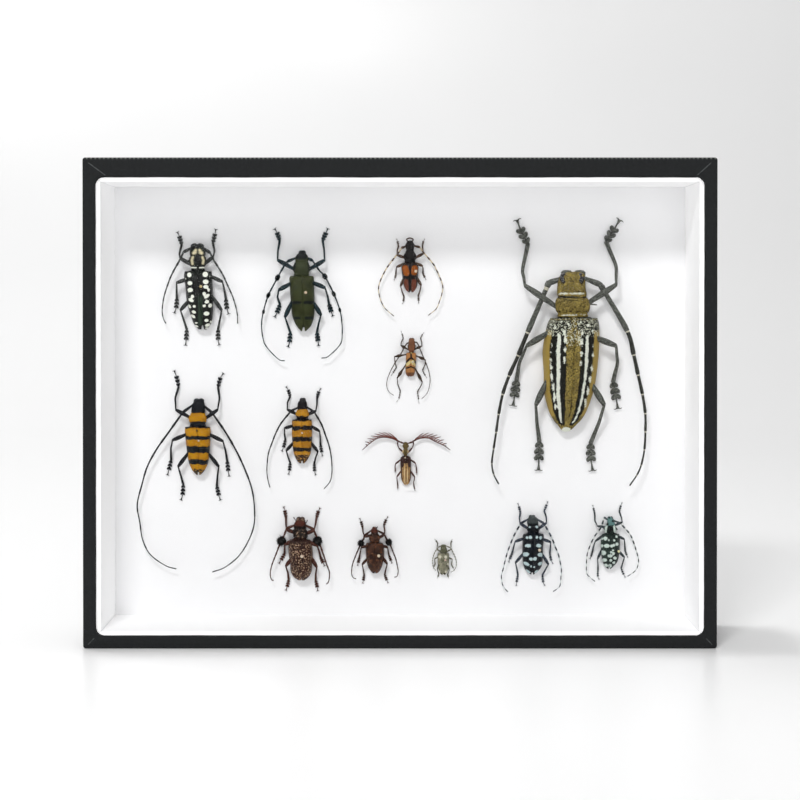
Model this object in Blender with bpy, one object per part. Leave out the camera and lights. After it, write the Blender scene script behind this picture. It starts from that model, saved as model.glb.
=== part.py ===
"""Beetle specimen box: a cloth-covered display box, glass front, with thirteen pinned longhorn beetles."""

import math

import bmesh
import bpy
from mathutils import Vector

MM = 0.001

# Outside of the closed box, standing on its long edge with the glass facing -Y
BOX_WIDTH = 310.0
BOX_HEIGHT = 240.0
BOX_DEPTH = 54.0
FRONT_Y = -BOX_DEPTH / 2
BACK_Y = BOX_DEPTH / 2
GAP = 0.3

# Tray and lid, with the seam between them at SEAM_Y; the top rail is the wide one
SEAM_Y = -8.7
SIDE_WALL = 4.7
FOOT_WALL = 4.2
TOP_WALL = 8.4
BACK_BOARD = 3.0
LID_FACE = 2.0
WINDOW_HALF_WIDTH = 148.8
WINDOW_LOW = 6.15
WINDOW_HIGH = 230.3
WINDOW_CORNER = 4.0
SIDE_LIP_OUTER = 150.0
LINER_LOW = 4.5
LINER_HIGH = 231.3
LINER_SIDE = 2.8
LINER_TOP = 2.8
LINER_FRONT_Y = -22.4
GLASS_THICK = 2.0

# Pinning panel
PANEL_Y = 16.0
PANEL_BACK_Y = BACK_Y - BACK_BOARD - GAP
PIN_RADIUS = 0.25
PIN_DEPTH = 5.5
PIN_PROUD = 2.5
SPIKE_RADIUS = 0.4

# Each specimen was measured in one front view, on a plane READ_HEIGHT in front of the panel.
# The eye of that view is EYE_Z up and EYE_TO_PANEL in front of the panel.
EYE_Z = 175.3
EYE_TO_PANEL = 780.0
READ_HEIGHT = 6.0

# A body at least TALL_BODY high has more sides and its shins are drawn with their bend.
# The feet of one below FLAT_BODY are as thin as its shins.
TALL_BODY = 12.0
FLAT_BODY = 12.0
TALL_SIDES = 8
FLAT_SIDES = 6

# Heights as parts of the body's own height, and thicknesses as parts of the limb's own
HIP_HEIGHT = 0.45
KNEE_HEIGHT = 0.55
SPIKE_HEIGHT = 0.5
LASH_HEIGHT = 0.45
BROW_HEIGHT = 0.7
BURIED_PIN_HEIGHT = 0.7
BELLY_RISE = 0.25
HIP_INSET = 0.6
BROW_INSET = 0.4
HIP_THICK = 0.9
ANKLE_THICK = 1.15
CLAW_THICK = 0.5
TUFT_ENDS = 0.6
LASH_BASE_THICK = 1.15
LASH_TIP_THICK = 0.55
LASH_FALL = 1.6
FOOT_CLEAR = 0.4

# Card slip on the panel, from the middle of its beetle's wing-case base
SLIP_U = (-0.9, 5.7)
SLIP_V = (-18.5, -15.0)
SLIP_THICK = 0.4
SLIP_TOP = GAP + SLIP_THICK

BLACK = (0.012, 0.012, 0.014, 1)


class Beetle:
    """Measures of one specimen, in mm from the middle of its wing-case base, u across and v up.

    Stations are (v, left edge, right edge, top height). Legs are (hip, knee, shin, ankle, foot, claw).
    Feelers run from the head outwards. Heights are above the panel.
    """

    def __init__(self, name, spot, belly, stations, legs, feelers, thick, pin, bead=0.75,
                 spines=(), tufts=(), colour=BLACK, lift=0.0):
        self.name = name
        self.spot = spot
        self.belly = belly
        self.stations = stations
        self.legs = legs
        self.feelers = feelers
        self.femur, self.shin, self.foot, self.scape, self.lash = thick
        self.pin = pin
        self.bead = bead
        self.spines = spines
        self.tufts = tufts
        self.colour = colour
        self.lift = lift
        self.peak = max(top for _, _, _, top in stations)

    def place(self, u, v, height):
        """World place in metres of a point read in the view, carried along the sight line to its height."""
        reach = (EYE_TO_PANEL - height) / (EYE_TO_PANEL - READ_HEIGHT)
        x = (self.spot[0] + u) * reach
        z = EYE_Z + (self.spot[1] + v - EYE_Z) * reach
        return Vector((x, PANEL_Y - height, z)) * MM

    def low(self, top):
        """Underside height at a station, rising towards the thin ends."""
        return self.belly + BELLY_RISE * (self.peak - top)


BEETLES = [
    Beetle(
        "beetle_white_spotted", (-103.45, 184.42), 1.3,
        [(14.3, -1.9, 1.6, 5.8), (12.9, -3.6, 2.9, 7.0), (10.8, -4.2, 3.8, 7.4), (8.8, -4.2, 3.9, 7.1),
         (6.4, -4.6, 4.2, 7.6), (4.2, -4.0, 3.5, 7.0), (0.9, -3.7, 3.8, 5.6), (0.4, -6.9, 6.9, 5.4),
         (-2.3, -7.25, 7.3, 8.2), (-8.0, -6.5, 7.5, 9.2), (-15.4, -5.8, 7.8, 9.0),
         (-21.5, -4.0, 7.6, 8.2), (-26.3, -2.3, 6.7, 6.6), (-29.3, 0.3, 4.4, 3.9)],
        [[(-4.5, 4.4), (-9.3, 7.3), (-9.5, 9.6), (-8.4, 14.2), (-9.5, 18.2), (-10.6, 20.6)],
         [(4.0, 4.7), (7.9, 8.1), (8.4, 11.0), (7.6, 15.1), (8.6, 19.2), (9.1, 22.1)],
         [(-6.9, -4.0), (-11.0, -5.4), (-11.0, -9.0), (-10.9, -13.2), (-11.1, -17.6), (-12.2, -21.0)],
         [(7.3, -2.5), (12.5, -4.9), (13.4, -8.8), (14.2, -13.6), (14.7, -18.2), (15.6, -21.5)],
         [(-5.6, -15.6), (-9.0, -19.5), (-7.5, -24.1), (-5.8, -29.3), (-6.1, -34.0), (-6.5, -37.6)],
         [(7.9, -13.4), (12.1, -19.5), (11.2, -24.1), (10.2, -29.3), (10.2, -34.2), (10.8, -37.4)]],
        [[(-2.6, 13.2), (-7.5, 10.3), (-9.1, 6.8), (-13.4, -1.0), (-15.8, -7.1), (-17.6, -13.2),
          (-18.4, -19.7), (-17.8, -23.7), (-16.5, -26.3)],
         [(1.9, 13.5), (6.2, 9.9), (7.9, 6.4), (12.5, -1.0), (14.9, -6.2), (17.1, -11.0),
          (18.8, -15.8), (20.0, -21.0), (20.3, -26.3)]],
        (0.78, 0.45, 0.8, 0.65, 0.36), pin=(1.4, -7.3)),
    Beetle(
        "beetle_green_tufted", (-50.32, 182.11), 1.3,
        [(13.2, -0.6, 1.1, 4.6), (12.1, -1.5, 2.0, 5.6), (10.5, -3.1, 3.1, 6.4), (8.0, -3.4, 3.4, 6.8),
         (6.4, -4.0, 3.7, 6.9), (4.7, -4.6, 4.4, 7.2), (0.7, -4.1, 3.8, 5.8), (0.3, -6.0, 5.9, 5.4),
         (-1.4, -6.4, 6.3, 7.8), (-7.0, -6.0, 6.4, 8.6), (-14.0, -5.6, 6.6, 8.5),
         (-20.4, -4.8, 6.3, 7.6), (-25.0, -2.8, 4.8, 5.6), (-27.8, -0.5, 2.2, 3.6)],
        [[(-4.75, 4.3), (-12.4, 8.6), (-12.2, 13.2), (-11.3, 18.5), (-12.6, 22.4), (-13.9, 24.6)],
         [(4.75, 4.3), (11.7, 8.5), (11.4, 14.0), (10.7, 18.6), (12.4, 22.4), (13.4, 24.7)],
         [(-6.2, -3.8), (-11.9, -6.9), (-12.4, -10.6), (-11.2, -14.3), (-12.7, -18.4), (-13.9, -20.7)],
         [(6.4, -3.3), (11.9, -5.7), (13.2, -9.8), (13.9, -13.9), (15.1, -18.0), (15.9, -20.2)],
         [(-5.7, -14.2), (-8.6, -20.7), (-7.4, -24.3), (-5.9, -28.6), (-6.3, -33.4), (-7.1, -36.0)],
         [(6.9, -14.7), (9.8, -19.7), (8.7, -23.8), (7.7, -28.6), (8.3, -33.0), (8.6, -35.4)]],
        [[(-2.9, 10.1), (-7.4, 7.8), (-9.6, 4.6), (-12.4, -0.5), (-17.1, -9.5), (-19.7, -18.0),
          (-20.6, -24.2), (-20.1, -30.4), (-18.3, -35.6), (-12.1, -42.2), (-8.8, -43.1)],
         [(2.4, 10.2), (5.5, 8.3), (9.0, 3.2), (11.9, 0.0), (16.4, -8.8), (19.5, -17.1),
          (20.5, -23.3), (20.7, -29.0), (19.7, -34.7), (13.5, -40.9), (10.1, -41.7)]],
        (0.88, 0.45, 0.85, 0.62, 0.32), pin=(2.0, -8.1),
        tufts=[((-11.9, 0.6), (-12.9, -1.6), 0.95), ((11.2, 1.2), (12.4, -0.9), 0.95),
                ((-16.6, -8.4), (-17.6, -10.6), 0.75), ((15.9, -7.8), (16.9, -9.9), 0.75)],
        colour=(0.035, 0.045, 0.012, 1)),
    Beetle(
        "beetle_orange_shouldered", (5.02, 188.31), 1.1,
        [(12.2, -1.1, 1.2, 3.8), (10.7, -2.0, 2.2, 4.8), (9.8, -2.4, 2.5, 5.0), (7.6, -1.9, 2.0, 4.7),
         (6.4, -2.2, 2.3, 4.9), (4.5, -3.2, 3.3, 5.4), (1.2, -2.7, 2.8, 4.6), (0.8, -3.9, 3.9, 4.3),
         (-0.6, -4.4, 4.5, 6.0), (-4.2, -4.1, 4.4, 6.6), (-8.0, -3.6, 4.1, 6.3),
         (-10.9, -3.1, 3.8, 5.6), (-13.0, -2.0, 2.8, 4.4), (-14.1, -0.8, 1.7, 3.1)],
        [[(-3.1, 3.7), (-6.5, 4.9), (-6.4, 7.2), (-5.8, 9.4), (-6.2, 11.6), (-6.8, 13.2)],
         [(3.2, 3.7), (7.0, 5.7), (6.7, 7.6), (6.5, 9.6), (6.8, 11.4), (7.6, 13.2)],
         [(-4.2, -0.1), (-6.8, -1.2), (-7.0, -2.7), (-7.1, -4.3), (-7.4, -6.2), (-8.1, -8.0)],
         [(4.4, 0.2), (6.5, -0.7), (6.8, -2.4), (6.7, -4.4), (7.4, -6.0), (8.3, -7.8)],
         [(-3.7, -8.4), (-4.7, -11.1), (-3.9, -14.0), (-3.0, -16.3), (-3.2, -18.2), (-3.7, -20.1)],
         [(4.1, -7.5), (5.8, -10.6), (5.2, -13.4), (4.3, -16.0), (4.5, -18.0), (4.5, -19.8)]],
        [[(-2.0, 9.7), (-4.3, 8.5), (-6.1, 5.7), (-10.7, -0.1), (-13.1, -4.0), (-15.0, -8.1),
          (-16.0, -11.8), (-15.6, -15.8), (-14.4, -19.5), (-12.4, -22.7), (-8.2, -26.4)],
         [(2.1, 9.9), (5.1, 8.9), (7.2, 6.0), (11.8, 0.6), (13.9, -3.2), (15.8, -7.5),
          (16.9, -11.2), (16.4, -15.2), (15.2, -18.9), (13.5, -22.7), (9.5, -26.0)]],
        (0.56, 0.3, 0.36, 0.5, 0.28), pin=(3.1, -3.4),
        spines=[[(-0.9, 11.6), (-1.6, 12.9), (0.0, 13.6), (1.7, 12.9), (1.0, 11.6)]],
        colour=(0.12, 0.035, 0.012, 1)),
    Beetle(
        "beetle_slender_banded", (5.64, 143.02), 1.0,
        [(7.5, -0.3, 0.9, 2.6), (6.6, -1.0, 1.7, 3.4), (5.4, -1.35, 2.0, 3.8), (4.6, -1.4, 2.1, 3.8),
         (3.6, -1.75, 2.45, 4.2), (1.8, -1.5, 2.0, 4.0), (0.5, -1.0, 1.5, 3.3), (0.1, -2.2, 2.3, 3.2),
         (-1.1, -2.6, 2.7, 4.3), (-4.8, -2.7, 2.6, 4.7), (-8.0, -2.9, 2.2, 4.5),
         (-10.4, -2.7, 1.9, 3.8), (-11.6, -2.1, 1.3, 2.8), (-12.1, -1.3, -0.1, 2.1)],
        [[(-1.9, 2.0), (-5.2, 3.9), (-5.0, 5.4), (-4.0, 7.4), (-4.4, 9.2), (-5.1, 11.2)],
         [(2.2, 2.0), (5.6, 3.6), (5.5, 5.4), (4.9, 7.7), (5.7, 9.3), (6.6, 10.5)],
         [(-2.7, -0.8), (-8.5, -1.9), (-8.2, -4.9), (-7.5, -7.4), (-9.0, -9.8), (-10.1, -11.6)],
         [(2.8, -1.5), (7.4, -3.6), (7.2, -6.0), (5.9, -8.9), (7.1, -11.2), (8.1, -12.9)],
         [(-3.1, -6.7), (-7.1, -12.9), (-6.8, -16.0), (-5.5, -19.4), (-6.1, -23.0), (-7.4, -25.2)],
         [(1.9, -7.5), (5.8, -15.0), (5.0, -17.0), (3.3, -19.9), (3.8, -23.2), (4.1, -25.9)]],
        [[(-0.9, 5.7), (-2.3, 4.7), (-3.6, 2.6), (-5.1, -0.3), (-7.0, -3.2), (-9.0, -6.5),
          (-10.9, -10.2), (-12.3, -14.3), (-12.3, -17.8), (-11.0, -20.2), (-8.9, -21.7)],
         [(1.5, 5.9), (3.1, 5.3), (4.3, 3.0), (5.9, -1.1), (7.8, -5.4), (9.2, -9.7),
          (9.8, -14.0), (9.2, -18.1), (8.0, -21.0), (5.5, -23.5)]],
        (0.4, 0.22, 0.24, 0.28, 0.2), pin=(0.9, -4.6), bead=0.5, colour=(0.16, 0.09, 0.04, 1)),
    Beetle(
        "beetle_giant_striped", (89.72, 160.70), 1.8,
        [(23.8, -3.9, 2.9, 6.8), (22.6, -6.8, 4.8, 8.6), (20.6, -8.6, 5.2, 9.6), (16.0, -9.2, 5.4, 10.0),
         (12.6, -9.3, 6.0, 9.8), (6.8, -10.3, 7.7, 11.4), (0.9, -9.2, 6.7, 9.0), (0.3, -12.6, 11.4, 9.0),
         (-3.9, -14.5, 12.4, 13.2), (-16.0, -16.6, 12.3, 14.6), (-28.3, -16.1, 11.1, 14.0),
         (-37.6, -15.9, 9.4, 12.8), (-47.0, -13.6, 6.1, 10.6), (-52.4, -10.8, 2.8, 8.0),
         (-56.6, -7.0, -2.2, 5.4)],
        [[(-10.2, 6.4), (-25.7, 16.9), (-26.9, 25.0), (-24.2, 38.4), (-27.6, 44.6), (-29.8, 50.6)],
         [(7.4, 8.4), (21.1, 17.4), (20.9, 27.0), (15.9, 39.3), (19.3, 44.6), (22.9, 50.6)],
         [(-15.9, -8.6), (-24.8, -14.0), (-28.6, -23.0), (-30.0, -31.8), (-30.7, -37.5), (-31.8, -44.7)],
         [(12.2, -10.5), (21.1, -14.0), (21.7, -23.0), (19.5, -32.5), (20.8, -39.0), (22.0, -46.3)],
         [(-15.9, -35.3), (-20.1, -44.4), (-19.5, -53.6), (-18.3, -63.0), (-18.5, -71.0), (-18.7, -77.9)],
         [(10.3, -36.7), (15.0, -44.4), (12.2, -53.6), (8.0, -64.0), (8.1, -71.0), (9.1, -78.1)]],
        [[(-4.2, 21.5), (-14.0, 18.1), (-14.4, 16.2), (-24.2, -6.9), (-29.0, -18.7), (-33.7, -29.2),
          (-37.0, -38.6), (-39.1, -48.9), (-41.7, -66.7), (-42.6, -74.2), (-41.7, -79.8), (-39.1, -84.9)],
         [(3.4, 22.0), (13.6, 17.1), (14.4, 14.8), (26.7, -6.3), (30.0, -18.4), (32.3, -28.7),
          (34.5, -38.6), (36.0, -48.4), (36.1, -57.8), (34.0, -75.1), (31.8, -80.2), (28.1, -85.7)]],
        (1.3, 0.85, 1.7, 1.25, 0.72), pin=(-2.2, -18.0), bead=0.0,
        spines=[[(-9.4, 6.7), (-12.2, 6.4)], [(6.8, 7.5), (11.1, 7.0)]], colour=(0.18, 0.13, 0.05, 1)),
    Beetle(
        "beetle_banded_large", (-103.86, 104.95), 1.3,
        [(14.4, -0.4, 2.7, 4.6), (13.2, -1.8, 3.4, 5.9), (11.0, -2.8, 3.8, 6.7), (7.8, -3.2, 4.0, 6.5),
         (6.6, -3.6, 4.1, 6.9), (4.8, -4.4, 4.7, 7.3), (0.6, -3.9, 4.4, 5.8), (0.2, -6.3, 6.5, 5.5),
         (-1.9, -6.5, 6.8, 7.8), (-7.0, -6.0, 6.6, 8.6), (-14.0, -5.2, 6.1, 8.3),
         (-18.8, -4.2, 5.3, 7.4), (-22.4, -2.4, 3.5, 5.4), (-24.4, -0.6, 1.6, 3.6)],
        [[(-4.7, 5.5), (-11.1, 9.0), (-11.3, 15.0), (-9.6, 20.8), (-10.6, 25.6), (-11.9, 29.1)],
         [(4.9, 5.1), (10.4, 9.0), (11.3, 15.0), (10.6, 20.5), (11.6, 25.0), (13.4, 27.7)],
         [(-6.5, -4.0), (-12.8, -6.7), (-13.6, -11.0), (-13.5, -16.8), (-14.7, -22.0), (-15.4, -24.6)],
         [(6.8, -4.0), (13.1, -7.2), (14.4, -12.0), (15.2, -17.2), (15.8, -22.4), (16.3, -25.3)],
         [(-5.4, -14.2), (-9.9, -20.2), (-8.6, -24.6), (-7.3, -29.4), (-7.6, -34.4), (-8.5, -37.5)],
         [(6.2, -14.2), (10.9, -20.2), (10.3, -25.0), (9.9, -30.2), (10.9, -34.8), (11.8, -37.5)]],
        [[(-1.6, 12.6), (-7.5, 7.6), (-14.6, -2.4), (-20.8, -11.1), (-25.7, -20.2), (-28.5, -29.5),
          (-30.9, -39.8), (-29.6, -48.7), (-28.1, -57.9), (-24.1, -65.5), (-16.3, -71.1), (-10.9, -72.7)],
         [(2.0, 12.6), (7.6, 7.3), (14.4, -2.6), (20.1, -12.5), (24.6, -22.3), (27.9, -31.8),
          (29.2, -41.3), (28.9, -50.6), (25.6, -59.3), (20.8, -66.5), (13.9, -72.0), (7.6, -74.3)]],
        (0.78, 0.44, 0.75, 0.6, 0.36), pin=(0.6, -6.9), bead=0.5,
        colour=(0.32, 0.15, 0.02, 1)),
    Beetle(
        "beetle_banded_small", (-50.21, 108.69), 1.2,
        [(11.1, 0.0, 1.0, 3.4), (10.2, -1.1, 1.8, 4.6), (8.6, -2.2, 2.5, 5.5), (5.8, -2.4, 2.7, 5.4),
         (4.6, -2.8, 3.1, 5.8), (3.1, -3.4, 3.6, 6.2), (0.7, -2.8, 3.2, 5.0), (0.2, -4.9, 4.9, 4.9),
         (-1.5, -5.2, 5.1, 6.8), (-6.5, -5.2, 5.2, 7.5), (-12.0, -5.0, 5.0, 7.3),
         (-17.0, -4.3, 4.4, 6.2), (-20.4, -2.9, 2.8, 4.5), (-22.2, -1.3, 1.2, 3.0)],
        [[(-3.1, 3.1), (-7.6, 5.4), (-7.4, 9.0), (-6.1, 12.0), (-7.0, 15.0), (-8.1, 17.1)],
         [(3.6, 3.1), (7.1, 4.6), (7.6, 8.0), (7.7, 11.2), (8.4, 14.0), (9.6, 16.2)],
         [(-5.2, -3.1), (-9.0, -4.3), (-9.0, -7.0), (-8.6, -10.2), (-9.4, -13.7), (-10.4, -16.1)],
         [(5.2, -3.5), (9.0, -5.8), (9.3, -9.0), (9.4, -12.8), (10.0, -16.2), (10.4, -18.6)],
         [(-5.2, -12.5), (-8.1, -15.8), (-7.2, -18.9), (-6.1, -22.0), (-6.5, -25.8), (-7.0, -28.0)],
         [(5.2, -12.5), (8.1, -16.3), (7.0, -19.3), (6.2, -22.4), (6.4, -26.0), (6.9, -28.3)]],
        [[(-1.9, 6.9), (-5.6, 4.6), (-10.6, -1.5), (-13.5, -6.9), (-15.6, -12.3), (-17.2, -16.9),
          (-17.9, -22.3), (-18.0, -27.3), (-17.4, -31.4), (-16.5, -34.6)],
         [(2.4, 7.3), (6.3, 4.0), (9.9, -2.1), (12.1, -8.1), (13.8, -13.1), (14.8, -18.1),
          (15.3, -23.1), (15.2, -28.1), (14.2, -31.9), (11.3, -35.3)]],
        (0.66, 0.37, 0.6, 0.5, 0.32), pin=(0.0, -6.7), bead=0.45,
        colour=(0.3, 0.14, 0.02, 1)),
    Beetle(
        "beetle_feather_horned", (3.07, 89.94), 1.0,
        [(7.3, -0.8, 0.2, 2.7), (6.6, -1.3, 0.8, 3.3), (5.4, -1.8, 1.5, 3.6), (4.2, -1.2, 0.8, 3.2),
         (3.4, -1.5, 1.0, 3.4), (2.5, -2.0, 1.4, 3.7), (0.6, -1.2, 0.5, 3.0), (0.2, -1.8, 1.5, 3.3),
         (-0.9, -2.8, 2.5, 4.3), (-4.5, -2.9, 2.6, 4.9), (-8.6, -2.7, 2.6, 4.7),
         (-11.6, -2.4, 2.4, 4.1), (-13.6, -1.5, 1.6, 3.1), (-14.8, -0.4, 0.5, 2.1)],
        [[(-1.5, 2.2), (-3.6, 4.3), (-4.2, 5.6), (-4.3, 6.9), (-4.1, 7.7), (-4.0, 8.4)],
         [(1.2, 2.2), (3.2, 4.4), (3.7, 5.6), (3.8, 6.8), (3.6, 7.6), (3.5, 8.4)],
         [(-2.8, -1.7), (-5.4, -3.8), (-5.6, -5.2), (-5.5, -6.6), (-5.5, -7.6), (-5.6, -8.4)],
         [(2.6, -1.8), (4.9, -3.5), (5.3, -5.4), (5.4, -7.2), (5.4, -8.4), (5.5, -9.4)],
         [(-2.7, -7.7), (-4.7, -10.5), (-4.5, -12.8), (-4.2, -15.0), (-4.3, -16.2), (-4.4, -17.2)],
         [(2.5, -7.7), (4.5, -10.6), (3.9, -13.4), (4.1, -15.4), (4.4, -16.6), (4.6, -17.5)]],
        [[(-1.0, 6.5), (-2.8, 7.4), (-4.3, 8.0), (-6.2, 9.0), (-8.4, 9.6), (-10.6, 9.9), (-12.8, 9.8),
          (-15.1, 9.1), (-17.4, 7.6), (-19.8, 5.7), (-22.3, 3.4)],
         [(0.7, 6.5), (3.2, 7.4), (4.6, 8.3), (6.8, 9.2), (9.2, 9.6), (11.7, 9.4), (14.2, 8.2),
          (16.9, 6.8), (19.7, 5.5), (22.6, 3.4)]],
        (0.34, 0.25, 0.25, 0.36, 0.26), pin=(-0.4, -0.7), bead=0.4, colour=(0.14, 0.08, 0.03, 1),
        lift=SLIP_TOP),
    Beetle(
        "beetle_brown_rough", (-51.29, 45.05), 1.3,
        [(13.6, -0.7, 0.9, 4.4), (12.4, -1.8, 2.4, 5.7), (10.6, -2.8, 3.0, 6.9), (8.2, -3.1, 3.1, 7.1),
         (6.2, -3.8, 3.8, 7.6), (4.4, -3.4, 3.8, 7.3), (2.9, -3.2, 3.9, 6.4), (2.3, -5.2, 5.0, 5.4),
         (0.8, -5.9, 6.0, 7.6), (-5.0, -5.9, 6.6, 9.0), (-10.0, -5.1, 6.2, 8.9),
         (-14.0, -4.4, 5.6, 7.8), (-17.0, -2.5, 3.7, 5.7), (-18.7, -0.5, 1.8, 3.6)],
        [[(-3.3, 6.0), (-7.0, 7.4), (-7.2, 10.4), (-7.2, 13.6), (-7.7, 16.6), (-8.4, 19.1)],
         [(3.4, 5.5), (7.1, 6.8), (7.9, 10.0), (8.5, 13.6), (9.3, 16.6), (10.3, 18.5)],
         [(-5.8, 0.7), (-7.8, -0.4), (-7.9, -2.6), (-7.9, -4.8), (-9.3, -7.6), (-10.8, -10.1)],
         [(6.0, 0.5), (8.8, -0.9), (9.8, -3.8), (10.5, -6.8), (11.5, -9.0), (12.6, -11.3)],
         [(-5.2, -8.6), (-7.3, -11.5), (-6.3, -14.6), (-5.8, -18.4), (-6.5, -21.6), (-7.3, -23.9)],
         [(6.0, -7.5), (8.6, -12.0), (8.1, -15.2), (8.0, -18.8), (8.8, -22.0), (9.1, -24.2)]],
        [[(-2.0, 10.2), (-6.8, 8.0), (-8.3, 4.0), (-10.5, -0.4), (-12.3, -5.3), (-14.2, -10.1),
          (-15.2, -14.2), (-15.1, -17.1), (-14.3, -18.6), (-13.6, -18.7)],
         [(2.6, 10.2), (7.0, 7.4), (8.3, 4.0), (10.2, -0.4), (11.8, -4.9), (13.5, -10.1),
          (15.0, -14.2), (15.0, -17.4), (14.5, -19.7), (13.5, -20.6)]],
        (0.75, 0.42, 0.65, 0.6, 0.36), pin=(0.95, -6.4), bead=0.8,
        tufts=[((-9.2, 3.2), (-9.7, -0.2), 1.75), ((8.5, 3.2), (9.5, -0.2), 1.75)],
        colour=(0.05, 0.02, 0.012, 1)),
    Beetle(
        "beetle_brown_smooth", (-13.17, 45.31), 1.2,
        [(8.4, -0.4, 0.4, 3.8), (7.4, -1.1, 1.3, 4.9), (6.2, -1.6, 1.8, 5.6), (5.0, -1.7, 1.9, 5.4),
         (4.2, -2.4, 2.5, 5.8), (3.2, -2.75, 3.0, 6.2), (0.8, -2.6, 2.8, 5.0), (0.3, -3.8, 4.0, 4.7),
         (-1.0, -4.4, 4.8, 6.3), (-5.0, -4.4, 5.1, 7.2), (-9.0, -4.0, 4.7, 7.1),
         (-12.2, -3.1, 3.8, 6.0), (-14.2, -1.9, 2.7, 4.5), (-15.3, -0.8, 1.5, 3.2)],
        [[(-2.6, 4.0), (-5.0, 3.4), (-5.8, 5.8), (-6.0, 8.2), (-6.7, 10.8), (-7.5, 12.9)],
         [(2.9, 3.2), (5.2, 4.5), (5.3, 6.8), (4.9, 9.2), (5.8, 11.8), (7.0, 13.7)],
         [(-4.4, -1.4), (-6.7, -2.1), (-7.2, -4.6), (-7.7, -7.2), (-8.2, -9.4), (-8.5, -11.4)],
         [(4.9, -1.4), (6.8, -2.1), (7.2, -4.4), (7.6, -6.4), (8.4, -8.4), (9.0, -10.2)],
         [(-4.0, -8.3), (-6.2, -10.8), (-5.7, -13.4), (-5.2, -16.2), (-5.6, -18.6), (-6.0, -20.5)],
         [(4.8, -7.9), (6.6, -10.6), (5.9, -13.3), (5.3, -16.2), (6.2, -18.4), (7.1, -20.3)]],
        [[(-1.2, 7.3), (-5.2, 3.9), (-5.7, 1.8), (-7.7, -1.9), (-9.2, -5.4), (-10.7, -9.2),
          (-11.5, -12.4), (-11.6, -15.7), (-10.8, -17.6), (-9.4, -18.2)],
         [(1.1, 7.1), (5.1, 4.8), (6.3, 2.1), (8.2, -0.9), (9.8, -4.9), (11.0, -7.9),
          (11.8, -11.6), (12.2, -14.3), (11.7, -16.8), (10.3, -17.4)]],
        (0.56, 0.32, 0.5, 0.45, 0.3), pin=(2.3, -6.4), bead=0.75,
        tufts=[((-6.5, 1.2), (-7.1, -1.1), 1.25), ((7.0, 1.7), (7.7, -0.5), 1.25)],
        colour=(0.055, 0.02, 0.01, 1)),
    Beetle(
        "beetle_grey_speckled", (22.24, 40.13), 0.9,
        [(4.5, -0.6, 0.9, 2.4), (4.1, -1.1, 1.4, 3.0), (3.3, -1.35, 1.5, 3.6), (2.3, -1.4, 1.8, 3.5),
         (1.7, -1.55, 1.9, 3.7), (0.7, -1.5, 1.8, 3.3), (0.4, -2.6, 2.6, 3.1), (-0.6, -2.95, 2.9, 4.2),
         (-3.0, -3.0, 3.0, 4.6), (-6.4, -2.85, 2.8, 4.4), (-8.8, -2.3, 2.3, 3.5),
         (-10.2, -1.6, 1.6, 2.6), (-10.9, -0.9, 0.9, 1.9)],
        [[(-1.3, 0.9), (-3.3, 2.1), (-3.2, 3.6), (-2.9, 5.3), (-3.7, 6.5), (-4.4, 7.4)],
         [(1.5, 0.8), (3.8, 2.1), (3.9, 3.6), (3.8, 5.3), (4.2, 6.3), (4.5, 7.2)],
         [(-2.9, -1.9), (-4.4, -2.7), (-4.4, -4.0), (-4.2, -5.3), (-4.9, -6.6), (-4.9, -7.6)],
         [(2.9, -2.2), (4.6, -3.0), (4.4, -4.4), (4.2, -5.7), (4.9, -7.1), (5.6, -8.3)],
         [(-2.7, -6.6), (-3.1, -8.2), (-2.7, -9.4), (-2.3, -10.5), (-2.7, -11.6), (-3.0, -12.6)],
         [(2.6, -7.0), (3.0, -8.6), (2.6, -9.7), (2.2, -10.8), (2.5, -11.9), (2.7, -12.7)]],
        [[(-0.8, 4.3), (-2.6, 3.2), (-3.6, 1.8), (-4.6, 0.1), (-5.2, -1.7), (-5.6, -3.6),
          (-5.5, -5.7), (-5.0, -7.3), (-3.8, -8.8)],
         [(1.2, 4.2), (3.3, 3.1), (4.4, 1.7), (5.4, -0.3), (6.2, -2.2), (6.6, -4.1),
          (6.6, -6.0), (6.3, -7.5), (5.2, -8.9), (3.9, -9.6)]],
        (0.28, 0.2, 0.27, 0.25, 0.2), pin=(1.05, -3.4), bead=0.5, colour=(0.1, 0.1, 0.06, 1)),
    Beetle(
        "beetle_blue_spotted", (68.35, 50.33), 1.2,
        [(9.4, -1.8, 0.0, 3.6), (8.8, -2.2, 0.9, 4.5), (7.6, -2.8, 2.1, 5.5), (6.0, -3.2, 2.6, 6.0),
         (4.2, -2.9, 2.7, 5.7), (3.0, -3.4, 3.5, 6.2), (0.4, -3.0, 2.9, 5.0), (-0.1, -4.9, 5.1, 4.8),
         (-1.6, -5.5, 5.5, 6.8), (-7.0, -5.6, 5.1, 7.8), (-12.0, -5.6, 5.0, 7.6),
         (-16.5, -5.0, 4.4, 6.4), (-19.4, -3.4, 2.4, 4.5), (-20.9, -1.5, 0.4, 3.1)],
        [[(-3.3, 3.0), (-6.8, 5.3), (-7.1, 8.0), (-6.6, 10.8), (-7.3, 13.8), (-8.0, 15.6)],
         [(3.3, 3.0), (6.8, 5.6), (6.6, 8.6), (5.6, 11.8), (6.7, 14.4), (7.4, 16.5)],
         [(-5.5, -2.7), (-9.3, -4.1), (-10.1, -7.0), (-10.8, -10.0), (-12.0, -13.0), (-12.6, -14.7)],
         [(5.3, -3.0), (8.9, -4.3), (8.8, -7.2), (8.5, -10.2), (9.1, -13.3), (10.1, -15.5)],
         [(-5.6, -10.8), (-9.1, -15.0), (-8.4, -18.2), (-7.9, -21.3), (-8.5, -24.8), (-8.7, -26.8)],
         [(5.1, -11.4), (7.8, -15.8), (6.3, -18.4), (4.7, -21.4), (5.1, -24.8), (5.9, -26.7)]],
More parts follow.
